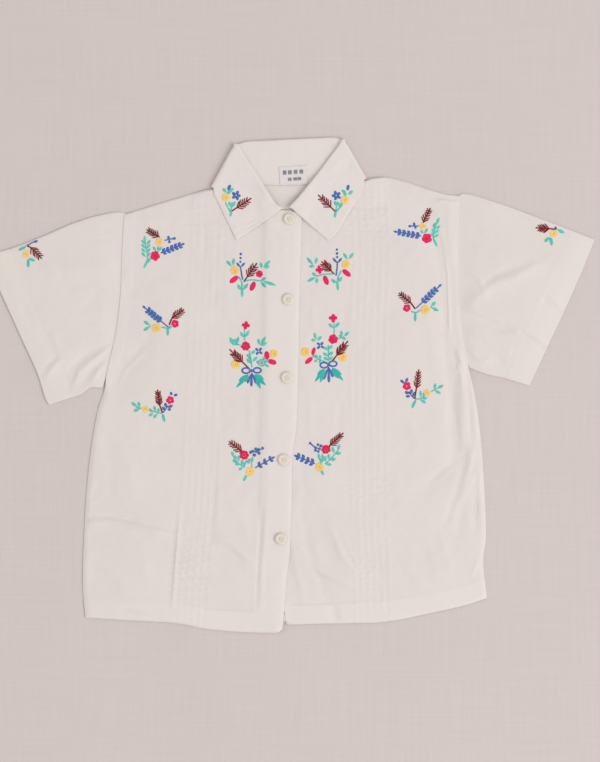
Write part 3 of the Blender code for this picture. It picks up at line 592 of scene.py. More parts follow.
ROLL_PARTS = [0.0, 0.03, 0.08, 0.16, 0.28, 0.45, 0.65, 0.82]
TUCK_PLACES = [0.0, 0.3, 0.6, 0.9, 1.3, 2.2, 3.5, 4.9]  # mm from the foot of a tuck
TUCK_PARTS = [(k + place / TUCK_PITCH) / TUCKS for k in range(TUCKS) for place in TUCK_PLACES]
HEM_PART = 0.0465         # height of the hem line, as a part of the panel's height
PANEL_ROWS = rows_between((0.0, 0.0075, 7), (0.0075, 0.0425, 8), (0.0425, 0.0505, 7),
                          (0.0505, 0.33, 100), (0.33, 0.8, 96), (0.8, 0.985, 56),
                          (0.985, 1.0, 9))


def tuck_profile(place):
    """Height of a pin tuck at a place in mm from its foot: steep side first."""
    return TUCK_HEIGHT * np.where(place < 1.3, ease(place / 1.3), 1 - ease((place - 1.3) / 3.6))


def tucks_at(x, y, first, direction):
    """The pin tucks, which stand unevenly where the cloth was washed and not pressed."""
    place = direction * (x - first(y)) + 0.7
    on_tucks = (place > 0) & (place < TUCKS * TUCK_PITCH)
    number = np.floor(place / TUCK_PITCH)
    uneven = np.clip(0.85 + 0.45 * np.sin(y / 9.0 + 2.3 * number) * patches(x + 31, y)
                     + 0.4 * patches(x, y - 40), 0.2, 1.5)
    return np.where(on_tucks, tuck_profile(np.mod(place, TUCK_PITCH)) * uneven, 0.0)


def puckers(x, y, first, direction, places):
    """Small ripples across the tucks, strongest near the given heights."""
    place = direction * (x - first(y))
    band = ease((place + 6) / 7) * ease((TUCKS * TUCK_PITCH + 5 - place) / 7)
    strength = 0.25 + sum(weight * np.exp(-((y - middle) / reach) ** 2)
                          for middle, reach, weight in places)
    block = np.sin(np.floor((place + 1.2) / TUCK_PITCH) * 2.1)
    wave = (np.sin(y / 0.82 + 1.5 * block) + 0.8 * np.sin(y / 1.55 + 2.4 * block + x / 60.0)
            * np.cos(place / TUCK_PITCH * math.pi))
    return 0.15 * band * strength * wave * (0.7 + 0.5 * patches(y, x))


def hem_band(part, start=HEM_PART - 0.0015):
    """1 on the turned hem and 0 above it."""
    return 1 - ease((part - start) / 0.003)


def seam_groove(distance, depth):
    return -depth * np.exp(-(distance / 0.9) ** 2)


def settle(full, band, x, y, from_side, upper, hem_line, top_line, at_shoulder):
    """Height and thickness of a front, rounded down to the back's at its free edges."""
    thick = CLOTH + (DOUBLE - CLOTH) * band
    low = neck_lift(x, y, FRONT_NECK) + CLOTH + LOOSE + thick
    keep = 1 - (1 - rounded(from_side, EDGE_ROLL)) * (1 - upper)
    keep = keep * rounded(y - hem_line(x), HEM_ROLL)
    keep = keep * (1 - (1 - rounded(top_line(x) - y, SHOULDER_ROLL)) * at_shoulder)
    at_seam = upper * (1 - rounded(from_side, ARMHOLE_ROLL))
    return low + (full - low) * keep - 0.12 * at_seam, thick * (1 - 0.6 * at_seam)


def right_front():
    """The panel on top, from its free edge at the buttons to its side seam."""
    bases = [lambda y: right_tuck(y) - 0.7,
             lambda y: right_tuck(y) - 0.7 + TUCKS * TUCK_PITCH]
    anchors = [right_edge, lambda y: right_side(y) + EDGE_ROLL,
               lambda y: right_side(y) + ARMHOLE_SEAM - 0.4,
               lambda y: right_side(y) + ARMHOLE_SEAM + HEM_STEP, *bases,
               lambda y: facing_edge(y) - 1.4, lambda y: facing_edge(y) + 1.4,
               lambda y: over_edge(y) - EDGE_ROLL, over_edge]
    columns = spread([ROLL_PARTS, 4, 4, 30, TUCK_PARTS, 14, 7, 12,
                      [1 - part for part in ROLL_PARTS[:0:-1]]])
    x, y = plan_grid(anchors, columns, PANEL_ROWS, right_hem, right_top)
    part = np.broadcast_to(PANEL_ROWS, x.shape)
    from_side = x - right_edge(y)
    upper = ease((y + 12) / 16)
    facing = ease((x - facing_edge(y) + 1.8) / 3.6)
    armhole = upper * (1 - ease((from_side - ARMHOLE_SEAM) / HEM_STEP))
    band = np.maximum(np.maximum(hem_band(part), facing), armhole)
    places = [(-176, 38, 1.5), (-100, 14, 0.4), (165, 22, 0.9)]  # middle y, reach, weight
    inner = ease(from_side / 12) * ease((left_side(y) - x) / 12)
    air = puff(x, y) + folds_at(RIGHT_FRONT_FOLDS, x, y) * inner
    detail = creases_at(RIGHT_FRONT_CREASES, x, y) + cloth_noise(x, y) + centre_streaks(x, y)
    detail = detail * ease(from_side / 6)
    full = (neck_lift(x, y, FRONT_NECK) + LAYER + WALL + np.maximum(air + detail, DEEPEST)
            + overlap_lift(x, y) + BAND_HEIGHT * band
            + tucks_at(x, y, right_tuck, 1) * ease((1 - part) / 0.012)
            + puckers(x, y, right_tuck, 1, places)
            + seam_groove(y - right_top(x) + 3.2, 0.2) * (x < -60))
    at_shoulder = 1 - ease((x + 64) / 8)
    z, thick = settle(full, band, x, y, from_side, upper, right_hem, right_top, at_shoulder)
    edge_low = left_front_height(x, y) + CLOTH + (DOUBLE - CLOTH) * band + LOOSE
    z = edge_low + (z - edge_low) * rounded(over_edge(y) - x, 6.0)
    thick = thick * (0.5 + 0.5 * rounded(over_edge(y) - x, 4.0))
    top = spots(x, y, z)
    bottom = spots(x, y, z - thick)
    # Painted shade: the lighter tone of the hem and armhole bands drops to a quarter towards the
    # side seam, where the hem tilts away from the light.
    painted_band_shade = 0.25 + 0.75 * ease((x + 190) / 130)
    return shell("right_front_cloth", top, bottom, np.maximum(band * painted_band_shade, facing)), top


def left_front_height(x, y):
    """Top of the left front where the right front lies on it."""
    air = puff(x, y) + folds_at(LEFT_FRONT_FOLDS, x, y)
    return neck_lift(x, y, FRONT_NECK) + LAYER + WALL + air


def left_front():
    """The panel that runs under the right front."""
    bases = [lambda y: left_tuck(y) + 0.7 - TUCKS * TUCK_PITCH, lambda y: left_tuck(y) + 0.7]
    anchors = [under_edge, lambda y: under_edge(y) + 2, lambda y: over_edge(y) - 2,
               lambda y: over_edge(y) + 12, *bases,
               lambda y: left_side(y) - ARMHOLE_SEAM - HEM_STEP,
               lambda y: left_side(y) - ARMHOLE_SEAM + 0.4,
               lambda y: left_side(y) - EDGE_ROLL, left_edge]
    columns = spread([3, 5, 7, 16, [0.0] + [1 - part for part in TUCK_PARTS[:0:-1]], 32, 4, 4,
                      [1 - part for part in ROLL_PARTS[::-1]][:-1] + [0.97]])
    x, y = plan_grid(anchors, columns, PANEL_ROWS, left_hem, left_top)
    part = np.broadcast_to(PANEL_ROWS, x.shape)
    from_side = left_edge(y) - x
    upper = ease((y + 4) / 16)
    armhole = upper * (1 - ease((from_side - ARMHOLE_SEAM) / HEM_STEP))
    band = np.maximum(hem_band(part), armhole)
    places = [(-98, 18, 1.2), (-172, 30, 1.1), (160, 28, 1.5)]  # middle y, reach, weight
    inner = ease(from_side / 12)
    air = puff(x, y) + folds_at(LEFT_FRONT_FOLDS, x, y) * inner
    visible = ease((x - over_edge(y)) / 6)
    detail = (creases_at(LEFT_FRONT_CREASES, x, y)
              + (cloth_noise(x, y) + centre_streaks(x, y)) * visible)
    detail = detail * ease(from_side / 5)
    full = (neck_lift(x, y, FRONT_NECK) + LAYER + WALL + np.maximum(air + detail, DEEPEST)
            + BAND_HEIGHT * band + tucks_at(x, y, left_tuck, -1) * ease((1 - part) / 0.012)
            + puckers(x, y, left_tuck, -1, places)
            + seam_groove(y - left_top(x) + 3.4, 0.3) * (x > 74))
    at_shoulder = ease((x - 66) / 8)
    z, thick = settle(full, band, x, y, from_side, upper, left_hem, left_top, at_shoulder)
    top = spots(x, y, z)
    bottom = spots(x, y, z - thick)
    return shell("left_front_cloth", top, bottom, band), top


def back():
    """One plain panel under everything."""
    anchors = [right_side, lambda y: right_side(y) + 4, lambda y: left_side(y) - 4, left_side]
    columns = spread([3, 90, [0.0, 0.4, 0.8]])
    rows = rows_between((0.0, 0.045, 5), (0.045, 0.05, 2), (0.05, 0.96, 84), (0.96, 1.0, 9))
    x, y = plan_grid(anchors, columns, rows, back_hem, back_top)
    lift = neck_lift(x, y, BACK_NECK_START)
    inner = ease((x - right_side(y)) / 12) * ease((left_side(y) - x) / 12)
    under = lift + (0.10 + 0.07 * middling(x + 50, y)) * inner
    hem = hem_band(np.broadcast_to(rows, x.shape), HEM_PART)
    under = np.maximum(under - 0.08 * hem, lift)
    top = spots(x, y, lift + CLOTH)
    bottom = spots(x, y, np.minimum(under, lift + CLOTH - 0.2))
    return shell("back_cloth", top, bottom, hem), top


SLEEVE_STATIONS = (0.0, 0.1, 0.24, 0.38, 0.52, 0.66, 0.8, 0.92, 1.0)
SLEEVE_HEM_PARTS = (0.0, HEM_STEP / SLEEVE_HEM, 0.55, 1.0)


def sleeve_ring(fine_steps, coarse_steps):
    """Points round a flattened sleeve: place across it from the fold, and height from 0 to 1."""
    turn = 0.007
    angles = np.linspace(-math.pi / 2, math.pi / 2, 11)
    fold = [(turn * (1 - math.cos(angle)), 0.5 + 0.5 * math.sin(angle)) for angle in angles]
    above = [(turn + (1 - 2 * turn) * (k + 1) / fine_steps, 1.0) for k in range(fine_steps - 1)]
    underarm = [(1 - across, height) for across, height in fold[::-1]]
    below = [(1 - turn - (1 - 2 * turn) * (k + 1) / coarse_steps, 0.0)
             for k in range(coarse_steps - 1)]
    return np.array(fold + above + underarm + below)


def sleeve(name, edges, folds, creases, outward):
    """A flattened tube of cloth between its armhole and its cuff, with a turned hem."""
    fold, cuff, underarm, armhole = (outline_of(edges[key])
                                     for key in ("fold", "cuff", "underarm", "armhole"))
    band = {key: SLEEVE_HEM / steps_along(edges[key]).sum() for key in ("fold", "underarm")}
    stations = np.concatenate([np.linspace(0, 0.35, 6, endpoint=False),
                               np.linspace(0.35, 7.7, 62, endpoint=False),
                               np.linspace(7.7, 9.0, 9, endpoint=False),
                               np.linspace(9.0, 10.7, 10, endpoint=False),
                               np.linspace(10.7, 11.0, 5)])
    ring = sleeve_ring(84, 30)
    across = ring[:, :1]
    height = ring[:, 1:]
    on_body = np.interp(stations, range(9), SLEEVE_STATIONS)[None, :]
    on_hem = np.interp(stations, (8, 9, 10, 11), SLEEVE_HEM_PARTS)[None, :]

    def hem_line(across):
        upper = (fold(1 - band["fold"]) - cuff(0.0)).reshape(2, *[1] * np.ndim(across))
        lower = (underarm(1 - band["underarm"]) - cuff(1.0)).reshape(2, *[1] * np.ndim(across))
        return cuff(across) + upper * (1 - across) + lower * across

    def surface(across, along, hem_part):
        upper = fold(along * (1 - band["fold"]))
        lower = underarm(along * (1 - band["underarm"]))
        arm = [armhole(end).reshape(2, 1, 1) for end in (0.0, 1.0)]
        hem = [hem_line(np.array([[end]])).reshape(2, 1, 1) for end in (0.0, 1.0)]
        corners = ((arm[0] * (1 - across) + arm[1] * across) * (1 - along)
                   + (hem[0] * (1 - across) + hem[1] * across) * along)
        body = (armhole(across) * (1 - along) + hem_line(across) * along
                + upper * (1 - across) + lower * across - corners)
        band_place = hem_line(across) * (1 - hem_part) + cuff(across) * hem_part
        return np.where(hem_part > 0, band_place, body)

    x, y = surface(across + 0 * on_body, on_body + 0 * across, on_hem + 0 * across)
    g = stations[None, :] + 0 * across
    hem = ease((g - 8.35) / 0.5)
    rise = (SLEEVE_PUFF * inside(across, 0.3) * (0.15 + 0.85 * np.sin(math.pi * g / 11))
            + folds_at(folds, x, y) * inside(across, 0.08))
    detail = (creases_at(creases, x, y) + 0.7 * cloth_noise(x, y)) * inside(across, 0.06)
    full = SLEEVE_HEIGHT + np.maximum(rise + detail, -0.3) + BAND_HEIGHT * hem
    out_of_seam = ease((stations[None, :] - 0.15) / 1.9)
    top = SEAM_HEIGHT + (full - SEAM_HEIGHT) * out_of_seam
    flat = 1 - 0.42 * (1 - rounded(11 - g, 1.6)) * (1 - 0.4 * (1 - ease(across / 0.03)))
    flat = flat * (1 - 0.25 * (1 - rounded(across, 0.035)))
    top = top * flat
    thick = CLOTH + (DOUBLE - CLOTH) * hem
    under = 0.12 * inside(across, 0.1) * (1 + 0.8 * middling(x - 40, y))
    outer = spots(x, y, under * (1 - height) + top * height)
    middle = 0.5 - across
    inward = thick / np.maximum(np.hypot(*(surface(np.array([[1.0]]), on_body, on_hem)
                                           - surface(np.array([[0.0]]), on_body, on_hem))), 1)
    shrunk = across + np.clip(middle * 2, -1, 1) * inward
    xi, yi = surface(shrunk, on_body + 0 * across, on_hem + 0 * across)
    inner = spots(xi, yi, (under + thick) * (1 - height) + (top - thick) * height)
    count, along = outer.shape[:2]
    verts = np.concatenate([outer.reshape(-1, 3), inner.reshape(-1, 3)])
    outside = grid_faces(count, along, 0, True)
    lining = grid_faces(count, along, count * along, True)[:, ::-1]
    i = np.arange(count)
    after = (i + 1) % count
    below = count * along
    ends = [np.stack([after * along, i * along, i * along + below, after * along + below], -1),
            np.stack([i * along + along - 1, after * along + along - 1,
                      after * along + along - 1 + below, i * along + along - 1 + below], -1)]
    faces = np.concatenate([outside, lining, *ends])
    obj = new_object(name, verts, (faces if outward else faces[:, ::-1]).tolist())
    tone = 0.55 * np.broadcast_to(hem, (count, along))
    add_attribute(obj, "tone", np.concatenate([tone.ravel(), tone.ravel()]))
    return obj, outer


def leaf_rise(part):
    return LEAF_RISE * (1 - ease(part / 0.5))


def stand_rise(part, height):
    return height * ease(part / 0.3)


def round_roll(stand, fall, reach):
    """Places across the collar, with a round turn between its stand and its fall."""
    inner = np.array(stand[-1], float)
    outer = np.array(fall[0], float)
    centre = (inner + outer) / 2
    half = (outer - inner) / 2
    turn = [centre + half * math.sin(angle) + np.array(reach) * math.cos(angle)
            for angle in (-math.pi / 4, 0.0, math.pi / 4)]
    return np.array([*stand, *turn, *fall], float)


def collar_section(neck, roll, edge, stand_height, fall_height):
    """Places across the collar: up the stand, round the roll and out to the edge."""
    neck, roll, edge = (np.array(place, float) for place in (neck, roll, edge))
    reach = (roll - neck) / np.hypot(*(roll - neck)) * ROLL_REACH
    turn = roll - reach
    stand = [(*(neck + (turn - neck) * part), stand_height(neck + (turn - neck) * part, part))
             for part in STAND_PARTS]
    fall = [(*(turn + (edge - turn) * part), fall_height(turn + (edge - turn) * part, part))
            for part in FALL_PARTS]
    return round_roll(stand, fall, (*reach, 0.0))


def leaf_sections(rows, neck_line):
    """The leaves on the fronts."""
    def stand_height(place, part):
        return cover(*place) - WALL / 2 + stand_rise(part, FRONT_STAND_RISE)

    def fall_height(place, part):
        return cover(*place) + TUCK_HEIGHT + LEAF_GAP + WALL / 2 + leaf_rise(part)

    def neck_place(x):
        steepness = neck_line(x + 0.5) - neck_line(x - 0.5)
        return x, neck_line(x) + (SEAM_SETBACK + SEAM_GAP) * math.hypot(1, steepness)

    return [collar_section(neck_place(neck_x), (roll_x, roll_y), (edge_x, edge_y),
                           stand_height, fall_height)
            for neck_x, roll_x, roll_y, edge_x, edge_y in rows]


def corner_sections(corner, outward, angles):
    """The turn at a shoulder, from a leaf above the cloth to the fall under it."""
    neck, roll, edge = (np.array(corner[key], float) for key in ("neck", "roll", "edge"))
    fold = (edge - roll) / np.hypot(*(edge - roll))
    side = np.array([outward, 0.0])
    across = side - fold * side.dot(fold)
    across /= np.hypot(*across)
    turn = roll + (edge - roll) * 0.04
    found = []
    for angle in angles:
        sine = math.sin(math.radians(angle))
        bend = math.cos(math.radians(angle)) - 1
        stand = []
        for part in STAND_PARTS:
            top = COLLAR_LIFT + LAYER + WALL / 2 + stand_rise(part, FRONT_STAND_RISE)
            bottom = COLLAR_LIFT + WALL / 2 + stand_rise(part, BACK_STAND_RISE)
            place = neck + (roll - neck) * part * 0.95 + side * (STAND_FOLD * bend
                                                                 - FALL_FOLD * part)
            stand.append((*place, (top + bottom) / 2 + (top - bottom) / 2 * sine))
        fall = []
        for part in FALL_PARTS:
            top = 2 * FALL_FOLD - 0.5 + WALL / 2 + leaf_rise(part)
            place = turn + (edge - turn) * part + across * (FALL_FOLD * bend - WALL / 2)
            fall.append((*place, (top + WALL / 2) / 2 + (top - WALL / 2) / 2 * sine))
        found.append(round_roll(stand, fall, (outward * 0.6, 1.3, 0.0)))
    return found


def back_stand_height(x, part):
    arch = BACK_ARCH * max(1 - (x / 32) ** 2, 0.0)
    return COLLAR_LIFT + WALL / 2 + stand_rise(part, BACK_STAND_RISE) + arch * part * part


def back_sections():
    """The stand behind the neck, with the fall folded under it."""
    return [collar_section((x, back_neck(x) + SEAM_SETBACK), (x, roll_y), (x, edge_y),
                           lambda place, part: back_stand_height(place[0], part),
                           lambda place, part: WALL / 2)
            for x, roll_y, edge_y in BACK_COLLAR]


def refine(points, steps):
    """Smooth curves through the rows of points, with steps[k] pieces in each gap."""
    chords = np.linalg.norm(np.diff(points, axis=0), axis=-1).mean(axis=1)
    keys = np.concatenate([[0], np.cumsum(chords)])
    wanted = np.concatenate([np.linspace(keys[k], keys[k + 1], count, endpoint=False)
                             for k, count in enumerate(steps)] + [[keys[-1]]])
    shape = points.shape[1:]
    flat = points.reshape(len(points), -1)
    found = np.stack([smooth_graph(keys, flat[:, c])(wanted) for c in range(flat.shape[1])], -1)
    return found.reshape(len(wanted), *shape)


COLLAR_THICKNESS = 0.9
COLLAR_LOWEST = 0.01      # height of its underside, just above the floor
COLLAR_STITCH = 9         # columns from the outer edge to the line of stitches
COLLAR_TONE = 0.9         # share of the double cloth's colour
SEAM_OUT = 1.3            # how far the neck edge turns outward
SEAM_UP = 0.42            # and upward
LEAF_COLUMNS = 34         # columns of a leaf that rest on the cloth
LEAF_REST = 0.12          # air under them
ALONG_STEPS = [12, 6, 7, 7, 8] + [3] * 4 + [5] + [4] * 6 + [5] + [3] * 4 + [8, 7, 7, 7, 6, 12]
ACROSS_STEPS = [3, 5, 4, 4, 3, 3, 3, 3, 5, 7, 8, 9, 3]


def collar(ground):
    """One piece, turned in at the neck seam, with its leaves resting on the fronts."""
    sections = leaf_sections(RIGHT_LEAF, right_top)
    sections += corner_sections(RIGHT_CORNER, -1, (90, 45, 0, -45, -90))
    sections += back_sections()
    sections += corner_sections(LEFT_CORNER, 1, (-90, -45, 0, 45, 90))
    sections += leaf_sections(LEFT_LEAF, left_top)
    rows = np.array(sections)
    outward = rows[:, 0] - rows[:, 1]
    outward[:, 2] = 0
    outward /= np.linalg.norm(outward, axis=1, keepdims=True)
    on_cloth = np.array([0.15] * (len(RIGHT_LEAF) + 5) + [1.0] * len(BACK_COLLAR)
                        + [0.15] * (len(LEFT_LEAF) + 5))[:, None]
    seam = rows[:, 0] + (outward * SEAM_OUT + np.array([0, 0, SEAM_UP])) * on_cloth
    rows = np.concatenate([seam[:, None], rows], axis=1)
    rows = refine(rows, ALONG_STEPS)
    middle = refine(rows.transpose(1, 0, 2), ACROSS_STEPS).transpose(1, 0, 2)
    along = np.gradient(middle, axis=0)
    across = np.gradient(middle, axis=1)
    normal = np.cross(along, across)
    normal /= np.maximum(np.linalg.norm(normal, axis=-1, keepdims=True), 1e-9)
    count, width = middle.shape[:2]
    lengths = np.linalg.norm(np.diff(middle, axis=0), axis=-1)
    from_start = np.concatenate([np.zeros((1, width)), np.cumsum(lengths, axis=0)])
    from_end = from_start[-1:] - from_start
    spans = np.linalg.norm(np.diff(middle, axis=1), axis=-1)
    to_edge = np.concatenate([np.cumsum(spans[:, ::-1], axis=1)[:, ::-1], np.zeros((count, 1))], 1)
    to_neck = np.concatenate([np.zeros((count, 1)), np.cumsum(spans, axis=1)], 1)
    border = np.minimum(np.minimum(from_start, from_end), np.minimum(to_edge, to_neck))
    half = COLLAR_THICKNESS / 2 * (0.3 + 0.7 * rounded(border, 0.7))
    x, y, z = middle[..., 0], middle[..., 1], middle[..., 2]
    upward = np.clip(np.abs(normal[..., 2]) * 2 - 0.6, 0, 1)
    above = ease((z - 4.4) / 0.8)
    right_end = sum(ALONG_STEPS[:len(RIGHT_LEAF) - 1])
    left_start = count - 1 - sum(ALONG_STEPS[1 - len(LEFT_LEAF):])
    leaf = (np.arange(count) < right_end) | (np.arange(count) > left_start)
    fall = ease((to_neck - to_edge) / 6)
    shown = np.maximum(above, np.where(leaf[:, None], fall, 0.7 * ease((to_edge - to_neck) / 6)))
    detail = (0.9 * creases_at(COLLAR_CREASES, x, y) + 0.8 * cloth_noise(x, y)) * upward * shown
    groove = -0.05 * np.exp(-((border - 4.2) / 0.6) ** 2)
    droop = -0.5 * (1 - ease(border / 8)) * ease((z - 4.2) / 1.0) * (to_edge < to_neck)
    middle = middle + spots(0 * x, 0 * x, detail * ease(border / 3) + droop)
    half = half + groove
    for i in np.nonzero(leaf)[0]:
        for j in range(width - LEAF_COLUMNS, width):
            px, py, pz = middle[i, j]
            middle[i, j, 2] = max(pz, ground(px, py) + half[i, j] + LEAF_REST)
    first = middle + normal * half[..., None]
    second = middle - normal * half[..., None]
    for surface in (first, second):
        surface[..., 2] = np.maximum(surface[..., 2], COLLAR_LOWEST)
    obj = shell("collar_cloth", first, second, np.full((count, width), COLLAR_TONE))
    face_outward(obj)
    return obj, middle


def face_outward(obj):
    """Turns the faces of a closed mesh outward."""
    work = bmesh.new()
    work.from_mesh(obj.data)
    volume = work.calc_volume(signed=True)
    work.free()
    if volume < 0:
        obj.data.flip_normals()


def make_nodes(name):
    """A new material, its node tree and its shader."""
    material = bpy.data.materials.new(name)
    material.use_nodes = True
    tree = material.node_tree
    return material, tree, tree.nodes["Principled BSDF"]


def link(tree, source, target):
    tree.links.new(source, target)


def math_node(tree, operation, first, second):
    """A sum, product or the like of two values, each a number or a socket."""
    node = tree.nodes.new("ShaderNodeMath")
    node.operation = operation
    for socket, value in zip(node.inputs, (first, second)):
        if isinstance(value, (int, float)):
            socket.default_value = value
        else:
            link(tree, value, socket)
    return node.outputs[0]


def mix_colours(tree, factor, first, second):
    """A blend of two colours, each a tuple or a socket."""
    node = tree.nodes.new("ShaderNodeMix")
    node.data_type = "RGBA"
    link(tree, factor, node.inputs["Factor"])
    for socket, value in ((node.inputs[6], first), (node.inputs[7], second)):
        if isinstance(value, tuple):
            socket.default_value = (*value, 1.0)
        else:
            link(tree, value, socket)
    return node.outputs[2]


def texture(tree, kind, scale, coords, **settings):
    """A procedural texture: the settings are sockets or properties of its node."""
    node = tree.nodes.new(kind)
    node.inputs["Scale"].default_value = scale
    for key, value in settings.items():
        if key in node.inputs:
            node.inputs[key].default_value = value
        else:
            setattr(node, key, value)
    link(tree, coords, node.inputs["Vector"])
    return node.outputs["Fac"] if "Fac" in node.outputs else node.outputs[0]


def object_coords(tree, scale=(1.0, 1.0, 1.0)):
    coords = tree.nodes.new("ShaderNodeTexCoord")
    mapping = tree.nodes.new("ShaderNodeMapping")
    mapping.inputs["Scale"].default_value = scale
    link(tree, coords.outputs["Object"], mapping.inputs["Vector"])
    return mapping.outputs["Vector"]


def attribute(tree, name):
    node = tree.nodes.new("ShaderNodeAttribute")
    node.attribute_name = name
    return node.outputs["Fac"]


def average(tree, first, second, share):
    """A blend of two values, with the given share of the first."""
    return math_node(tree, "ADD", math_node(tree, "MULTIPLY", first, share),
                     math_node(tree, "MULTIPLY", second, 1 - share))


def set_shader(shader, **values):
    """Uniform values of a shader's sockets, with _ for the spaces in their names."""
    for name, value in values.items():
        shader.inputs[name.replace("_", " ")].default_value = value


def add_bump(tree, shader, height, distance, strength, onto=None):
    bump = tree.nodes.new("ShaderNodeBump")
    bump.inputs["Distance"].default_value = distance
    bump.inputs["Strength"].default_value = strength
    link(tree, height, bump.inputs["Height"])
    if onto is not None:
        link(tree, onto, bump.inputs["Normal"])
    link(tree, bump.outputs["Normal"], shader.inputs["Normal"])
    return bump.outputs["Normal"]


COTTON = (0.785, 0.713, 0.686)
COTTON_SHADE = (0.76, 0.686, 0.652)
COTTON_DOUBLE = (0.795, 0.723, 0.694)
COTTON_AGED = (0.80, 0.72, 0.62)
WEAVE = 0.00038           # m from thread to thread
WAVE_SCALE = 0.3142       # scale of the wave texture for bands 1 m apart


def cotton_material(name):
    """Washed plain-weave cotton with uneven threads, lighter where it is double."""
    material, tree, shader = make_nodes(name)
    plain = object_coords(tree)
    across = object_coords(tree, (1.0, 0.12, 1.0))
    down = object_coords(tree, (0.12, 1.0, 1.0))
    band = WAVE_SCALE / WEAVE
    warp = texture(tree, "ShaderNodeTexWave", band, plain, bands_direction="X", Distortion=0.6)
    weft = texture(tree, "ShaderNodeTexWave", band, plain, bands_direction="Y", Distortion=0.6)
    slub_warp = texture(tree, "ShaderNodeTexNoise", 900.0, across, Detail=3.0)
    slub_weft = texture(tree, "ShaderNodeTexNoise", 900.0, down, Detail=3.0)
    cloud = texture(tree, "ShaderNodeTexNoise", 28.0, plain, Detail=4.0)
    slubs = average(tree, slub_warp, slub_weft, 0.5)
    ramp = tree.nodes.new("ShaderNodeMapRange")
    ramp.inputs["From Min"].default_value = 0.38
    ramp.inputs["From Max"].default_value = 0.62
    link(tree, average(tree, slubs, cloud, 0.55), ramp.inputs["Value"])
    colour = mix_colours(tree, ramp.outputs["Result"], COTTON_SHADE, COTTON)
    # tone: lighter where the cloth is double; on the right front less so towards its side seam,
    # which is painted shade
    colour = mix_colours(tree, attribute(tree, "tone"), colour, COTTON_DOUBLE)
    colour = mix_colours(tree, attribute(tree, "stain"), colour, COTTON_AGED)
    link(tree, colour, shader.inputs["Base Color"])
    set_shader(shader, Roughness=0.9, Specular_IOR_Level=0.25, Sheen_Weight=0.18,
               Sheen_Roughness=0.6)
    threads = math_node(tree, "MAXIMUM", warp, weft)
    first = add_bump(tree, shader, slubs, 0.00012, 0.5)
    add_bump(tree, shader, threads, 0.00006, 0.35, first)
    return material


def thread_material(name, dark, light):
    """Twisted stranded thread: each stitch has its own shade, and fine strands run along it."""
    material, tree, shader = make_nodes(name)
    coords = object_coords(tree)
    strands = texture(tree, "ShaderNodeTexNoise", 2600.0, coords, Detail=2.0)
    shade = average(tree, attribute(tree, "shade"), strands, 0.75)
    link(tree, mix_colours(tree, shade, dark, light), shader.inputs["Base Color"])
    set_shader(shader, Roughness=0.5, Sheen_Weight=0.05, Specular_IOR_Level=0.2)
    add_bump(tree, shader, strands, 0.00008, 0.4)
    return material


WHITE_THREAD = ((0.73, 0.66, 0.57), (0.79, 0.72, 0.63))


def tape_material():
    """Closely woven bluish white tape."""
    material, tree, shader = make_nodes("label_tape")
    coords = object_coords(tree)
    ribs = texture(tree, "ShaderNodeTexWave", 900.0, coords, bands_direction="Y", Distortion=0.4)
    cloud = texture(tree, "ShaderNodeTexNoise", 420.0, coords, Detail=3.0)
    link(tree, mix_colours(tree, cloud, (0.73, 0.675, 0.675), (0.80, 0.745, 0.745)),
         shader.inputs["Base Color"])
    set_shader(shader, Roughness=0.7)
    add_bump(tree, shader, ribs, 0.00005, 0.4)
    return material


def button_material(name):
    """Cream pressed plastic with a faint cloud in it."""
    material, tree, shader = make_nodes(name)
    coords = object_coords(tree)
    cloud = texture(tree, "ShaderNodeTexNoise", 260.0, coords, Detail=3.0, Distortion=0.6)
    link(tree, mix_colours(tree, cloud, (0.757, 0.678, 0.585), (0.797, 0.716, 0.628)),
         shader.inputs["Base Color"])
    set_shader(shader, Roughness=0.5, Specular_IOR_Level=0.25, Subsurface_Weight=0.12,
               Subsurface_Radius=(0.002, 0.0015, 0.001))
    grain = texture(tree, "ShaderNodeTexNoise", 1500.0, coords, Detail=2.0)
    add_bump(tree, shader, grain, 0.00004, 0.2)
    return material


def stain_attribute(obj, spots):
    """Marks old, slightly yellowed places: rows of view x, view y, reach in mm and strength."""
    x, y, _ = points_of(obj.data).T / MM
    total = np.zeros(len(x))
    for view_x, view_y, reach, strength in spots:
        cx, cy = to_plan((view_x, view_y))
        total += strength * np.exp(-(((x - cx) ** 2 + (y - cy) ** 2) / reach ** 2))
    add_attribute(obj, "stain", np.clip(total, 0, 1))


def surface_area(points, closed):
    """Area in square metres of a grid of points in millimetres."""
    if closed:
        points = np.concatenate([points, points[:1]])
    one = points[1:, 1:] - points[:-1, :-1]
    other = points[1:, :-1] - points[:-1, 1:]
    return float(np.linalg.norm(np.cross(one, other), axis=-1).sum() / 2) * MM * MM


def add_piece(obj, material, slot, *nodes):
    obj.data.materials.clear()
    obj.data.materials.append(material)
    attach(obj, "root")
    if nodes:
        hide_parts(*nodes)


# Stitches, by colour: start and end in mm, width in mm and layer
stitches = {}
needle = random.Random(7)
LEAF_FULLNESS = 1.62      # factor on the widths of the leaves
SATIN_PITCH = 0.4         # mm from one satin stitch to the next
SATIN_WIDTH = 0.56        # mm
STEM_STITCH = 2.4         # view units of stem to a stitch


def sew(colour, start, end, width=0.85, layer=0.0):
    """One stitch between two places in view units, in a thread of the given width in mm."""
    stitches.setdefault(colour, []).append((*to_plan(start), *to_plan(end), width, layer))


def turned(vector, degrees):
    """A vector turned in the plane."""
    angle = math.radians(degrees)
    x, y = vector
    return np.array([x * math.cos(angle) - y * math.sin(angle),
                     x * math.sin(angle) + y * math.cos(angle)])


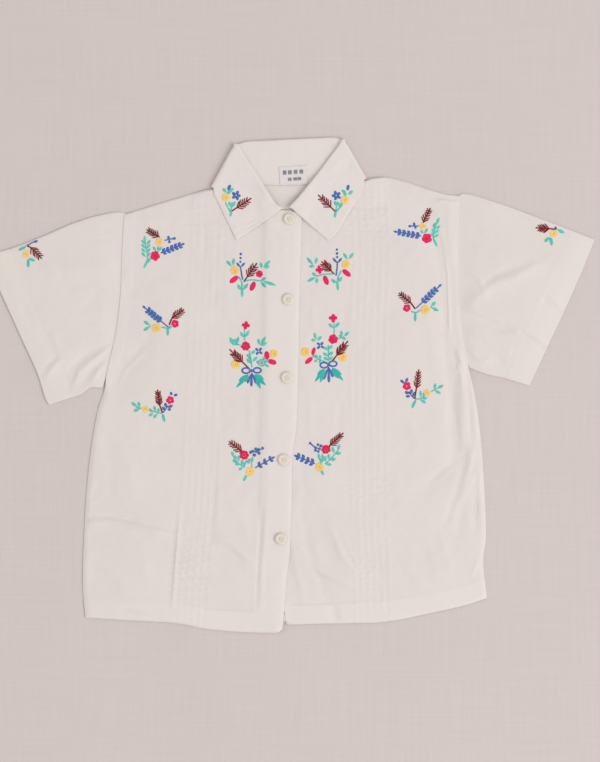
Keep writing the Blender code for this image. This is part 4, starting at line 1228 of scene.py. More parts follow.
def satin(colour, base, tip, width, shape="leaf"):
    """Lengthwise satin stitches that fill a leaf or an oval."""
    base = np.array(base, float)
    tip = np.array(tip, float)
    length = math.hypot(*(tip - base))
    ahead = (tip - base) / length
    side = np.array([-ahead[1], ahead[0]])
    if shape == "leaf":
        width *= LEAF_FULLNESS
    count = max(2, round(width * UNIT / SATIN_PITCH))
    for k in range(count):
        offset = (k + 0.5) / count * 2 - 1
        if shape == "oval":
            inset = 0.5 * (1 - math.sqrt(max(1 - (abs(offset) * 0.92) ** 2, 0)))
            start, end = inset, 1 - inset
        else:
            start, end = 0.30 * abs(offset) ** 1.4, 1 - 0.42 * abs(offset) ** 1.5
        aside = side * offset * width / 2
        first = base + ahead * length * start + aside * (0.45 if shape == "leaf" else 0.9)
        last = base + ahead * length * end + aside * (0.8 if shape == "leaf" else 0.9)
        wander = needle.uniform(-0.12, 0.12)
        sew(colour, first + side * wander * 0.5, last + ahead * wander, SATIN_WIDTH)


def stem(colour, points, width=1.15):
    """Outline stitch along a smooth line of points."""
    line = outline_of(points)
    count = max(2, round(steps_along(points).sum() / STEM_STITCH))
    for k in range(count):
        start = line(max(k - 0.25, 0) / count)
        end = line(min(k + 1.1, count) / count)
        sew(colour, start, end, width)


def spine_of(base, tip):
    """Base, tip, the vector between them and its direction."""
    base = np.array(base, float)
    tip = np.array(tip, float)
    spine = tip - base
    return base, tip, spine, spine / math.hypot(*spine)


def ear(base, tip, pairs, reach, start):
    """An ear of fly stitches: pairs of oblique lines along a spine that runs on past them."""
    base, tip, spine, ahead = spine_of(base, tip)
    stem("red", [base, base + spine * 0.5, tip], 1.35)
    for k in range(pairs):
        part = k / (pairs - 1)
        root = base + spine * (start + (0.75 - start) * part)
        long = 1.12 * reach * (1 - 0.3 * part) * needle.uniform(0.94, 1.08)
        for side in (-1, 1):
            end = root + turned(ahead, side * needle.uniform(41, 50)) * long
            sew("red", root - ahead * 0.5, end, 1.08, 0.3)
        sew("red", root - ahead, root + ahead * 2.2, 1.45 - 0.4 * part, 0.6)


def buds(colour, rows, width=2.3, shape="leaf"):
    """Single leaves or buds: rows of base x, base y, tip x and tip y."""
    for base_x, base_y, tip_x, tip_y in rows:
        satin(colour, (base_x, base_y), (tip_x, tip_y), width, shape)


def sprig(colour, base, tip, pairs, length, width, start, spread_angle=36):
    """A stem with pairs of satin leaves and a slender one at its tip."""
    base, tip, spine, ahead = spine_of(base, tip)
    stem(colour, [base, base + spine * 0.5, base + spine * 0.9], 1.2)
    for k in range(pairs):
        root = base + spine * (start + (0.70 - start) * k / max(pairs - 1, 1))
        for side in (-1, 1):
            end = root + turned(ahead, side * spread_angle) * length * needle.uniform(0.9, 1.06)
            satin(colour, root + turned(ahead, side * 70) * 0.4, end, width)
    satin(colour, tip - ahead * length, tip, width * 0.75)


def petals(colour, centre, radius, count, turn, wander, lengths, start, width):
    """Round petals about a middle, each of its own length and direction."""
    for k in range(count):
        out = turned((1.0, 0.0), turn + 360 / count * k + needle.uniform(-wander, wander))
        long = radius * needle.uniform(*lengths)
        satin(colour, centre + out * radius * start, centre + out * long, width, "oval")


def flower(colour, centre, radius, count, turn, heart, fullness):
    """Full round petals, and a knot at the heart if it has a colour."""
    centre = np.array(centre, float)
    petals(colour, centre, radius, count, turn, 5, (1.0, 1.16), 0.08, radius * fullness * 0.9)
    if heart:
        knot(heart, centre, radius * 0.22, 0.5)


def knot(colour, centre, radius, layer=0.0):
    """A small round knot of crossing stitches."""
    centre = np.array(centre, float)
    for k in range(4):
        out = turned((1.0, 0.0), 45 * k + 20) * radius
        sew(colour, centre - out, centre + out, 0.75, layer + 0.2 * k)


def knots(colour, centres, radius):
    for centre in centres:
        knot(colour, centre, radius * needle.uniform(0.85, 1.1))


def wheel(colour, heart, centre, radius, turn=90.0):
    """A round rosette with a lobed rim and a few couched threads across it."""
    centre = np.array(centre, float)
    petals(colour, centre, radius, 8, 0.0, 7, (0.98, 1.1), 0.05, radius * 0.8)
    along = turned((1.0, 0.0), turn)
    side = turned(along, 90.0)
    for place in (-0.45, 0.0, 0.45):
        reach = along * radius * math.sqrt(1 - place ** 2) * 0.75
        middle = centre + side * radius * place
        sew(heart, middle - reach, middle + reach, 0.5, 0.7)


def rosette(colour, centre, radius, turn=0.0):
    """A rose of overlapping curved rows inside a ring of short petals."""
    centre = np.array(centre, float)
    petals(colour, centre, radius, 7, turn, 6, (0.98, 1.12), 0.3, radius * 0.72)
    rings = 4
    for ring in range(rings):
        reach = radius * 0.82 * (1 - (ring + 0.35) / rings)
        count = max(4, round(2 * math.pi * reach * UNIT / 2.3))
        for k in range(count):
            angle = 360 / count * (k + 0.37 * ring)
            start = centre + turned((reach, 0.0), angle)
            end = centre + turned((reach * 0.93, 0.0), angle + 360 / count * 1.25)
            sew("rose" if (k + ring) % 3 == 0 else colour, start, end, 0.85, 0.4 + 0.1 * ring)


def leaves(colour, base, tips, width):
    """Slender leaves on short stalks from one place."""
    base = np.array(base, float)
    for tip in tips:
        reach = np.array(tip, float) - base
        sew(colour, base, base + reach * 0.45, 0.9)
        satin(colour, base + reach * 0.14, tip, width)


def loop(colour, centre, radius_x, radius_y, width=1.6):
    """An oval ring of stitches."""
    turn = [(centre[0] + radius_x * math.cos(angle), centre[1] + radius_y * math.sin(angle))
            for angle in np.linspace(0, 2 * math.pi, 15)]
    for start, end in zip(turn, turn[1:]):
        sew(colour, start, np.array(end) + (np.array(end) - start) * 0.3, width, 0.2)


def bow(knot_place, left, right, tails):
    """Two loops, their knot and three hanging ends."""
    loop("blue", left, 4.1, 2.7)
    loop("blue", right, 3.9, 2.6)
    knot("blue", knot_place, 1.7, 0.4)
    for width, tip in tails:
        satin("blue", (knot_place[0], knot_place[1] + 1.5), tip, width * 0.62)
        half = (np.array(knot_place) + np.array(tip)) / 2
        satin("blue", half, tip, width, "oval")


def embroider_right_chest():
    """Three motifs between the right tucks and the side, from the top down."""
    ear((160, 237.4), (146.6, 229.6), 5, 5.4, 0.12)
    flower("yellow", (159.4, 242.2), 4.2, 5, -60, "gold", 0.85)
    stem("blue", [(164.4, 240.6), (170, 239.4), (175.6, 238.3)], 1.2)
    buds("blue", [(169.2, 239.8, 168.2, 235.8), (169.6, 240.2, 169.4, 243.6),
                  (172.6, 238.9, 176.2, 238.3)], 2.6, "oval")
    sprig("blue", (160.8, 253.2), (185.2, 243.4), 5, 5.4, 2.4, 0.06)
    stem("teal", [(144, 268), (148, 258.6), (146.8, 250), (145, 240)], 1.3)
    for y in (257.2, 253, 248.8, 244.8):
        buds("teal", [(146, y, 141.4, y - 4.8), (147, y, 150.6, y - 4.8)], 2.1)
    buds("teal", [(145.2, 242.4, 144.6, 235.4)], 2.2)
    buds("teal", [(149, 258.4, 143.8, 268.8), (151, 257.6, 148, 263)], 2.2, "oval")
    buds("teal", [(156.4, 251.4, 153, 246.4), (158.4, 251.6, 158.2, 246),
                  (158.6, 251.4, 162, 246.8)], 2)
    flower("pink", (155, 256), 4.7, 5, -60, "rose", 1.15)

    sprig("blue", (168.9, 327.6), (142.3, 305.6), 5, 5.6, 2.4, 0.28)
    stem("red", [(169.4, 325.2), (171.2, 320.4), (173, 317)], 1.5)
    ear((172, 318.6), (184.5, 309.3), 5, 5.6, 0.08)
    flower("pink", (175.3, 323.9), 3.9, 5, -40, "", 1.15)
    wheel("yellow", "gold", (156.4, 327.8), 4.9, 0)
    leaves("teal", (150.9, 325.8), [(143.5, 320.9), (143.5, 331)], 2.7)
    stem("teal", [(161.8, 327), (165, 328), (168, 328.4)], 1.3)
    buds("teal", [(168.1, 327.2, 167.8, 336.2), (168.6, 328.6, 172, 325.8)], 2.7, "oval")

    stem("red", [(162.6, 413), (161, 408), (159.4, 403.8)], 1.4)
    ear((160, 406.2), (157.7, 389.4), 6, 4.8, 0.08)
    buds("blue", [(172, 395.4, 170.6, 391.8), (173.8, 395.6, 178, 394.4)], 2.6, "oval")
    flower("pink", (170.4, 400.2), 4, 5, -40, "", 1.05)
    stem("blue", [(163, 412.8), (166, 409), (168.6, 405.4)], 1.2)
    buds("blue", [(166.4, 407.6, 165.2, 402.4), (168.2, 407.6, 173.2, 405),
                  (167.6, 409.6, 171.4, 409.2), (164.6, 410.6, 162.8, 406.2)], 2.5)
    stem("teal", [(149.6, 410.6), (154.8, 411.4), (159.4, 413.2), (162.6, 413)], 1.1)
    buds("teal", [(156, 411.2, 154, 405.6), (158.8, 413, 158.6, 408),
                  (153, 412, 148.6, 408.6), (154, 412.6, 148.6, 416.4),
                  (157.8, 413.6, 153.2, 418.4)], 2.3)
    flower("yellow", (145.6, 409.1), 3.9, 4, -70, "gold", 0.9)
    stem("teal", [(141.4, 408.6), (138.4, 407.4), (136, 406.8)], 1.1)
    buds("teal", [(137.6, 406.8, 131.2, 402.2), (140, 407.6, 138.4, 401.4),
                  (140.4, 408.6, 133.4, 411.2)], 2.5)
    buds("teal", [(162.6, 413.4, 164.9, 422.2)], 2.8, "oval")


def embroider_left_chest():
    """Three motifs between the left tucks and the side, from the top down."""
    ear((422.8, 223.2), (430.5, 207.9), 5, 5.2, 0.1)
    flower("yellow", (422.5, 226.2), 3.9, 4, -85, "gold", 0.95)
    stem("blue", [(418.6, 226.2), (414, 226.2), (409, 226.2)], 1.2)
    buds("blue", [(414.4, 226.2, 413.8, 222.4), (415, 226.4, 415.8, 229),
                  (411.4, 226.4, 408, 226.2)], 2.4, "oval")
    sprig("blue", (421.4, 236.2), (393, 231.4), 5, 5.5, 2.5, 0.06)
    buds("teal", [(423.6, 233.8, 420.2, 230.4), (424.4, 233.8, 427.6, 228.2)], 2.2)
    flower("pink", (426.7, 238.6), 4.9, 5, -50, "rose", 1.15)
    stem("teal", [(436.4, 245), (433.4, 238.6), (434.8, 229), (438.4, 218.4)], 1.2)
    for x, y in ((433.4, 237.6), (433.8, 233.4), (435, 229.2)):
        buds("teal", [(x - 0.2, y, x - 1.8, y - 5.4), (x + 0.6, y, x + 5.4, y - 3.6)], 2.1)
    buds("teal", [(436.2, 225.6, 439.2, 217), (435.6, 227.2, 434.4, 222.4)], 2.1)
    buds("teal", [(432.8, 238, 437.4, 246.8)], 2.6, "oval")

    stem("red", [(415.2, 309.2), (412.4, 305.2), (409.4, 301.4)], 1.5)
    ear((411, 303.4), (398.6, 292.9), 5, 5.6, 0.08)
    sprig("blue", (415.9, 308.4), (441.8, 283.9), 5, 5.6, 2.4, 0.24)
    flower("pink", (406.8, 308.1), 3.9, 5, -55, "", 1.1)
    wheel("yellow", "gold", (425, 309.7), 4.8)
    leaves("teal", (430.4, 307.2), [(435.6, 301.8), (438.6, 311)], 2.8)
    stem("teal", [(420.4, 310.2), (417.6, 312), (415.2, 313.2), (411, 311)], 1.3)
    buds("teal", [(415.3, 312.6, 415, 322)], 2.7, "oval")

    stem("red", [(414.6, 399), (415.6, 392), (416.6, 386.4)], 1.4)
    ear((416.4, 388.8), (418.8, 369.2), 6, 4.8, 0.08)
    buds("blue", [(404.4, 383.2, 400, 380), (405.6, 382.8, 407.6, 377.6)], 2.6, "oval")
    flower("pink", (406.7, 386.2), 4.2, 5, -50, "", 1.05)
    stem("blue", [(414.2, 398.6), (411, 395), (408.6, 391.4)], 1.2)
    buds("blue", [(410.6, 394, 411.8, 388.8), (409.4, 393.8, 404.4, 391.6),
                  (410.4, 396, 405.4, 396.4), (412.8, 397, 414.6, 391.6)], 2.5)
    stem("teal", [(415, 399.2), (420, 398.8), (424.4, 396)], 1.2)
    buds("teal", [(420.8, 397.4, 420.4, 390.2), (422.6, 397, 425.6, 391.6),
                  (421.6, 398.6, 427.6, 398), (419.8, 399.4, 426.2, 403.2)], 2.4)
    flower("yellow", (427, 392.8), 3.6, 5, -20, "gold", 1)
    stem("teal", [(430.8, 392), (433.6, 390.2), (436.8, 388.6)], 1.1)
    buds("teal", [(434.6, 389.8, 435.2, 382.8), (436.6, 388.8, 443.6, 384.8),
                  (434.4, 390.6, 441, 393.6)], 2.5)
    buds("teal", [(415.8, 399.4, 411.6, 408.4)], 2.8, "oval")


def embroider_right_centre():
    """A sprig, a bouquet and a V between the right tucks and the buttons."""
    knots("blue", ((240.9, 254.2), (240.7, 258.2), (240.5, 262)), 1.35)
    stem("blue", [(240.4, 266.2), (241.4, 272.5), (242.9, 280.2)], 1.4)
    buds("blue", [(240.2, 267.4, 236.4, 262.6), (240.8, 267.2, 245.4, 262.6)], 1.9)
    buds("teal", [(232, 266.8, 226.2, 260.6), (233.2, 266.2, 234, 257.8)], 2.6)
    wheel("yellow", "gold", (234.8, 270.4), 4.6, 0)
    buds("pink", [(238.6, 276.2, 229.6, 283), (254.9, 281.6, 250.6, 291.2)], 5.3, "oval")
    ear((243.8, 282.2), (257.2, 263), 5, 6.2, 0.3)
    flower("pink", (259.4, 274), 3.6, 6, -100, "rose", 1.05)
    buds("teal", [(261.8, 268.6, 260.6, 262.2), (263.2, 267.6, 270.8, 260.2),
                  (264.2, 268.4, 270.2, 266.2)], 2.4)
    stem("teal", [(244.6, 281.4), (252, 280), (262, 281.4)], 1.2)
    buds("teal", [(260.8, 281, 266.4, 277.4), (262.4, 281.2, 276.8, 285.8),
                  (261, 281.8, 266.4, 288)], 2.7)
    stem("teal", [(239, 277), (242.2, 283.5), (242.5, 291)], 1.5)
    buds("teal", [(242.2, 291.2, 237.2, 284.4), (243.2, 290.2, 248.4, 283.4)], 2.7)
    buds("teal", [(242.3, 289, 242.1, 297.4)], 2.7, "oval")

    flower("pink", (245.9, 325.3), 3.9, 4, -80, "rose", 1)
    stem("teal", [(244.6, 329.2), (244.6, 335), (244.8, 341)], 1.1)
    buds("teal", [(244.4, 338.2, 240.2, 331.6), (245, 338, 249.6, 330.2)], 2.2)
    rosette("pink", (245.8, 346.1), 4.7, 20)
    buds("teal", [(234.4, 346, 229.6, 337), (235.2, 346, 234.4, 338.6),
                  (235.8, 345.6, 238.8, 336.4)], 3.1)
    stem("teal", [(236.4, 344.6), (238.8, 344.6), (241.2, 345.2)])
    buds("teal", [(260, 345.6, 258, 338.4), (260.6, 345.6, 266, 336.2),
                  (260.4, 345.8, 267.4, 342.6)], 2.5)
    flower("blue", (258.9, 351.3), 4.3, 4, -50, "", 0.62)
    buds("pink", [(266.6, 350.8, 267.2, 360), (267.6, 360.4, 276.8, 363.4)], 5.4, "oval")
    wheel("yellow", "gold", (273.8, 353.8), 4.5, 90)
    ear((249.2, 368.6), (229.4, 349.2), 6, 6, 0.36)
    wheel("yellow", "gold", (235.6, 364.4), 4.7, 90)
    stem("teal", [(249.4, 350.6), (250.8, 358), (252.2, 367.6)], 1.3)
    buds("teal", [(250.2, 356.8, 246.2, 354.6), (252, 364, 246.2, 358.6),
                  (252.4, 361.8, 257.8, 356.4), (251.2, 354.2, 255.6, 350.4),
                  (251, 360.4, 248.6, 355.4)], 2.5)
    loop("teal", (261.8, 362.8), 3.3, 3.1, 1.3)
    loop("teal", (261.8, 362.8), 1.2, 1.1, 1)
    buds("teal", [(264.2, 361.4, 264.2, 356.4), (265, 363, 268.8, 359.4),
                  (264.6, 364.2, 269.4, 367), (259.2, 364.4, 256.6, 360.6)], 2.1)
    bow((251.9, 370.8), (246.2, 370.6), (257.4, 370.4), ((2.4, (247.4, 383.8)),
        (2.6, (251.3, 387)), (2.8, (256.4, 383.8))))
    buds("deep", [(249.6, 374.2, 235.8, 387.8), (248.6, 374.2, 238.4, 381.2),
                  (250.4, 375.6, 244.4, 382.2)], 2.9)
    buds("deep", [(254, 374.4, 266.2, 385.6), (254.4, 374.8, 260.8, 389.2),
                  (254.2, 374.2, 264.4, 379.6)], 3.4)

    ear((242.4, 451.6), (228.9, 441.1), 5, 5.6, 0.08)
    rosette("pink", (244.3, 455), 4.9)
    stem("blue", [(249.6, 452.4), (256, 451.4), (261, 449.4)], 1.2)
    knots("blue", ((250.8, 452.2), (252.8, 451.2), (254.4, 455), (255.8, 448.9), (257.2, 451.4),
                   (259.1, 453.2), (258.6, 449.6), (262.6, 448.2)), 1.9)
    stem("teal", [(232.6, 455), (237.6, 462.4), (245.4, 467.8)], 1.2)
    buds("teal", [(234, 457.4, 231.6, 450.8), (237.2, 462.8, 232.4, 459.6),
                  (238.8, 461.8, 238.6, 454.6), (239.6, 464.6, 234.8, 463.6),
                  (242.2, 465.6, 242, 459), (243.2, 467.4, 238.6, 469.8),
                  (235.6, 459.8, 235.4, 454.8), (243.6, 466.8, 245.6, 461.4)], 2.3)
    stem("teal", [(251.4, 462), (252, 465), (251.6, 468.2)], 1.2)
    buds("teal", [(248.8, 464, 249.4, 457.8), (251.4, 463.2, 252.9, 456.4),
                  (248, 463.4, 245.8, 459.8)], 2.2)
    sprig("blue", (255, 467.8), (275.2, 456.4), 3, 5, 2.2, 0.16, 42)
    flower("yellow", (250.4, 471.2), 4.7, 5, -55, "gold", 1.05)
    buds("teal", [(246.8, 474.6, 243.6, 481.2)], 2.7, "oval")


def embroider_left_centre():
    """A sprig, a bouquet and a V between the left tucks and the buttons."""
    knots("blue", ((336.9, 249.8), (337, 253.6), (337.2, 257.2)), 1.35)
    stem("blue", [(337.4, 261.6), (337, 269), (335.9, 276)], 1.4)
    buds("blue", [(337.2, 263.2, 332.4, 257.8), (337.6, 263.2, 342.2, 257.8)], 1.9)
    buds("teal", [(347.6, 259.8, 343.2, 253), (348.6, 259.6, 353.8, 252.6)], 2.4)
    wheel("yellow", "gold", (345.9, 264.3), 4.4, 0)
    buds("pink", [(342.2, 269.6, 350.8, 276.6), (324, 275.4, 327.8, 285.4)], 5.2, "oval")
    ear((334.4, 274.4), (321.3, 261.4), 5, 6.2, 0.28)
    flower("pink", (319.4, 269.8), 3.9, 4, -95, "rose", 0.95)
    buds("teal", [(313.4, 265.2, 306.6, 257.4), (315.4, 264.4, 316.8, 257.2),
                  (315, 266.2, 308.6, 266.6)], 2.4)
    stem("teal", [(334, 274.2), (324.6, 274.4), (316, 276.8)], 1.2)
    buds("teal", [(317, 276.4, 311.8, 272.6), (316.2, 277.2, 306.8, 281.8),
                  (317.4, 277.6, 316.4, 283.8)], 2.5)
    stem("teal", [(341.6, 270.8), (338.2, 277), (337.2, 284)], 1.5)
    buds("teal", [(337, 283.6, 330.8, 279.4), (337.6, 282.8, 342.4, 277)], 2.5)
    buds("teal", [(337.2, 282, 338, 290.8)], 2.7, "oval")

    flower("pink", (333.1, 318.1), 4.1, 4, -90, "rose", 1)
    stem("teal", [(334, 322.4), (334.2, 328), (334, 334.4)], 1.1)
    buds("teal", [(333.6, 328.2, 328.4, 323.4), (334.6, 328, 339.8, 322.2)], 2.4)
    flower("pink", (333, 339.3), 4.8, 6, -75, "rose", 1)
    rosette("pink", (333, 339.3), 3.2)
    buds("teal", [(342.2, 336.2, 341, 330.4), (343.8, 336.4, 349.4, 331.6),
                  (341.6, 338, 346.4, 339), (342, 337.4, 338.8, 335)], 2.4)
    stem("teal", [(338.2, 338.6), (340.8, 338), (343.8, 336.4)])
    buds("teal", [(316.4, 340.4, 314, 332.2), (316, 341.2, 310.8, 339.4),
                  (317.4, 341, 321.6, 335.8)], 2.4)
    flower("blue", (320.4, 345.6), 4.3, 4, -50, "", 0.62)
    buds("pink", [(314.8, 347, 312.2, 355.6)], 3.8, "oval")
    buds("pink", [(312.8, 357.2, 305, 363.8)], 4.6, "oval")
    wheel("yellow", "gold", (305.4, 352.2), 4.9, 90)
    ear((331.8, 361.8), (348, 340.9), 6, 5.8, 0.34)
    wheel("yellow", "gold", (342.6, 357.2), 4.8, 20)
    stem("teal", [(328.2, 345), (328.6, 353), (328.2, 361.6)], 1.3)
    buds("teal", [(328.2, 350.6, 323.2, 346.6), (328.4, 349.6, 332.8, 345.2),
                  (328, 356.4, 322.8, 352.6), (328.8, 355.6, 333.4, 351.4),
                  (327.8, 360.2, 323.6, 357), (328.6, 360.4, 333, 356.6)], 2.4)
    stem("teal", [(314.6, 356.6), (319, 359.6), (325.6, 361.6)], 1.2)
    buds("teal", [(318, 359, 315.2, 354.4), (320.4, 359.8, 319.8, 354.6),
                  (317.6, 359.6, 314.2, 362), (321.4, 360.8, 318.6, 363),
                  (314.8, 357.4, 312.6, 355)], 2.2)
    bow((328.6, 365), (324.2, 365.2), (333, 363.8), ((2.4, (323.8, 379.8)),
        (2.8, (328.9, 382.8)), (2.8, (333.2, 377.6))))
    buds("deep", [(325.6, 368.8, 314.4, 382), (326.6, 369.4, 319.6, 382.8),
                  (325, 368.8, 317, 375)], 3)
    buds("deep", [(331.4, 368, 343.4, 380.8), (331.8, 367.4, 342, 375),
                  (331, 369, 338.4, 378.8)], 2.9)

    ear((328.6, 446.6), (343.5, 432.7), 6, 5.2, 0.14)
    rosette("pink", (326, 449.2), 4.7, 20)
    stem("blue", [(309.9, 442.6), (314.6, 447), (320.8, 449.2)], 1.3)
    knots("blue", ((310.2, 443.2), (317.9, 444.6), (320.8, 445.8), (315.6, 450.2), (318.4, 451.4),
                   (319.6, 448.6), (315.2, 447.4)), 1.7)
    stem("teal", [(325, 463.8), (331, 458.6), (338, 450.4)], 1.2)
    buds("teal", [(338, 450.8, 339.3, 443.8), (335.8, 454.2, 341.2, 452.6),
                  (334.2, 453.6, 332.2, 446.4), (330.2, 460.2, 336.2, 458.6),
                  (329.4, 460, 328.4, 453.2), (325.2, 463.8, 332.2, 464.9)], 2.4)
    stem("teal", [(320.8, 465), (320.6, 461), (319.4, 456)], 1.2)
    buds("teal", [(320.4, 461.4, 318, 452.8), (324.6, 461.8, 321.6, 453.6),
                  (325.4, 461.6, 325.6, 455.6), (322, 463, 322.4, 457.4)], 2.3)
    sprig("blue", (315.2, 463.6), (293.6, 454.9), 4, 5.6, 2.6, 0.06, 42)
    flower("yellow", (319.6, 466.8), 4.7, 6, -75, "gold", 0.95)
    buds("teal", [(321, 469.4, 323.4, 475.2)], 2.6, "oval")


def embroider_collar():
    """One motif on each leaf of the collar."""
    buds("blue", [(228, 190.8, 230.6, 184.8)], 3, "oval")
    buds("teal", [(226.8, 193, 222.6, 188.4), (228.2, 193.2, 234, 188.2),
                  (226.4, 193.4, 231.4, 192)], 2.7)
    flower("yellow", (225.8, 197.7), 4.3, 6, -100, "gold", 0.95)
    flower("blue", (236.3, 195.7), 4.6, 5, -70, "", 0.72)
    buds("teal", [(231.6, 208, 228.8, 201.6), (232, 207.6, 235.8, 201.4),
                  (231.8, 206.6, 232.4, 202.2)], 2.5)
    ear((231.4, 211.6), (251.6, 198.4), 5, 6, 0.3)
    stem("teal", [(225.6, 202.6), (228.2, 208), (230.8, 212.4)], 1.3)
    stem("teal", [(231.8, 206.6), (231.4, 210), (231, 212.4)], 1.2)
    buds("teal", [(231.6, 210.2, 230.4, 217.2)], 2.5, "oval")

    buds("blue", [(347.2, 191, 348.6, 184.8)], 3, "oval")
    buds("teal", [(346.8, 194.8, 341.4, 189.8), (347.8, 195, 353.2, 190.6),
                  (347, 195.2, 343, 194.2)], 2.7)
    flower("yellow", (344.8, 200.2), 4.3, 6, -80, "gold", 0.95)
    flower("blue", (336.2, 195.9), 4.6, 5, -110, "", 0.72)
    buds("teal", [(337, 207, 334, 200.8), (338, 206.8, 342.8, 203),
                  (337.4, 206.2, 337.6, 201.4)], 2.5)
    ear((335.6, 212), (318, 195.2), 5, 6, 0.3)
    stem("teal", [(342.4, 204.8), (338.8, 209), (335.8, 212.8)], 1.3)
    stem("teal", [(336.8, 206.6), (336, 210), (335.6, 212.8)], 1.2)
    buds("teal", [(335.8, 211.2, 334.6, 218)], 2.5, "oval")


def embroider_sleeves():
    """One motif on each sleeve, near its fold and cuff."""
    stem("blue", [(27.4, 246.4), (31, 243.4), (34, 242)], 1.2)
    buds("blue", [(33.4, 242.2, 38.2, 241)], 2.4, "oval")
    sew("rust", (25.4, 245.8), (28.4, 244.2), 0.6)
    buds("teal", [(26.6, 246.6, 18.5, 250.4), (28.5, 258.8, 28.6, 267.8),
                  (29, 258.4, 35.6, 261.2)], 3, "oval")
    stem("red", [(27.2, 246.3), (29.6, 246.6), (31.6, 248.2)], 1.3)
    ear((30.4, 246.9), (42.2, 258.9), 5, 5.6, 0.1)
    flower("yellow", (26.4, 254.1), 3.7, 6, 0, "gold", 0.95)

    buds("blue", [(555.6, 230, 555.2, 226.4)], 2.2, "oval")
    buds("teal", [(556.6, 229.4, 564.8, 233.4)], 2.8)
    buds("teal", [(549.9, 237.4, 544, 242), (550.6, 237.4, 551.6, 246)], 3.2, "oval")
    ear((556.6, 229.4), (535.2, 227.9), 5, 5.6, 0.38)
    flower("yellow", (553.4, 233.8), 3.9, 6, 15, "gold", 1)


RINGS = [  # part of a stitch's length, part of its width, height in mm over the cloth
    (0.0, 0.30, -0.10), (0.10, 0.80, 0.09), (0.35, 1.0, 0.22), (0.65, 1.0, 0.22),
    (0.90, 0.80, 0.09), (1.0, 0.30, -0.10)]
SIDES = 6
LAYER_STEP = 0.35         # mm that one layer of stitches lies over another


def thread_object(name, rows, ground):
    """Every stitch as a small arched thread that dives into the cloth at both its ends."""
    angles = np.arange(SIDES) / SIDES * 2 * math.pi
    verts = []
    shades = []
    for x0, y0, x1, y1, width, layer in rows:
        length = max(math.hypot(x1 - x0, y1 - y0), 1e-3)
        side = np.array([-(y1 - y0), x1 - x0]) / length
        arch = min(length / 3.0, 1.0)
        shade = needle.random()
        for part, wide, high in RINGS:
            x = x0 + (x1 - x0) * part
            y = y0 + (y1 - y0) * part
            z = ground(x, y) + (high if high < 0 else high * (0.5 + 0.5 * arch))
            z += layer * LAYER_STEP * (1 if high > 0 else 0.5)
            reach = np.cos(angles) * width / 2 * wide
            for along, up in zip(reach, np.sin(angles) * width * 0.33 * wide):
                verts.append((x + side[0] * along, y + side[1] * along, z + up))
        shades += [shade] * (SIDES * len(RINGS))
    k = np.arange(SIDES)
    after = (k + 1) % SIDES
    tube = np.concatenate([np.stack([k, after, SIDES + after, SIDES + k], -1) + ring * SIDES
                           for ring in range(len(RINGS) - 1)])
    starts = np.arange(len(rows)) * SIDES * len(RINGS)
    sides = (tube[None] + starts[:, None, None]).reshape(-1, 4).tolist()
    caps = [[start + int(i) for i in k[::-1]] for start in starts]
    caps += [[start + SIDES * (len(RINGS) - 1) + int(i) for i in k] for start in starts]
    obj = new_object(name, verts, sides + caps)
    add_attribute(obj, "shade", shades)
    face_outward(obj)
    return obj


RAY_START = 60.0          # mm, over everything


def ground_under(objects):
    """Height of the uppermost cloth, in mm, by a ray from above."""
    verts = []
    faces = []
    for obj in objects:
        start = len(verts)
        verts += (points_of(obj.data) / MM).tolist()
        faces += [[start + v for v in polygon.vertices] for polygon in obj.data.polygons]
    tree = BVHTree.FromPolygons(verts, faces)

    def at(x, y):
        hit = tree.ray_cast(Vector((x, y, RAY_START)), Vector((0, 0, -1)))[0]
        return hit.z if hit is not None else 0.0

    return at


def on_label(u, v):
    """x and y of a place on the label, given in mm from its centre."""
    turn = math.radians(LABEL["turn"])
    return (LABEL["centre"][0] + u * math.cos(turn) - v * math.sin(turn),
            LABEL["centre"][1] + u * math.sin(turn) + v * math.cos(turn))


TAPE_RISE = 0.36          # of the label's top over the cloth
TAPE_THICKNESS = 0.28
TAPE_MARGIN = 0.9         # from the tape's edge to its stitches


def label(ground):
    """A tape sewn inside the neck, following the cloth under it."""
    across = np.linspace(-LABEL["width"] / 2, LABEL["width"] / 2, 46)
    along = np.linspace(-LABEL["height"] / 2, LABEL["height"] / 2, 32)
    u, v = np.meshgrid(across, along, indexing="ij")
    x, y = on_label(u, v)
    z = np.array([[ground(px, py) for px, py in zip(xs, ys)] for xs, ys in zip(x, y)])
    for _ in range(6):
        z[1:-1, 1:-1] = (z[:-2, 1:-1] + z[2:, 1:-1] + z[1:-1, :-2] + z[1:-1, 2:]) / 4
    rim = np.minimum(LABEL["width"] / 2 - np.abs(u), LABEL["height"] / 2 - np.abs(v))
    z = z + TAPE_RISE + 0.06 * middling(3 * x, 3 * y) * ease(rim / 3)
    top = spots(x, y, z)
    bottom = spots(x, y, z - TAPE_THICKNESS)
    return shell("label_tape", top, bottom, np.zeros(x.shape))


LABEL_BLOCKS = [  # v, half height and middles u of a row, in mm from the label's centre
    (3.0, 2.5, (-8.2, -3.2, 2.2, 7.6)), (-3.6, 1.9, (-3.8, 1.4, 5.4))]
BLOCK_THREADS = 6
BLOCK_PITCH = 0.6


def weave_label_marks():
    """Plain woven blocks in two rows, with no lettering, and the stitches round the tape."""
    for v, tall, row in LABEL_BLOCKS:
        for middle in row:
            for k in range(BLOCK_THREADS):
                u = middle - 1.5 + BLOCK_PITCH * k
                sew("grey", to_view(*on_label(u, v - tall)), to_view(*on_label(u, v + tall)),
                    0.42, -0.2)
    half_x = LABEL["width"] / 2 - TAPE_MARGIN
    half_y = LABEL["height"] / 2 - TAPE_MARGIN
    sew_curve(*on_label(np.array([-1, 1, 1, -1, -1]) * half_x,
                        np.array([-1, -1, 1, 1, -1]) * half_y), 1.6, 0.6, 0.3)


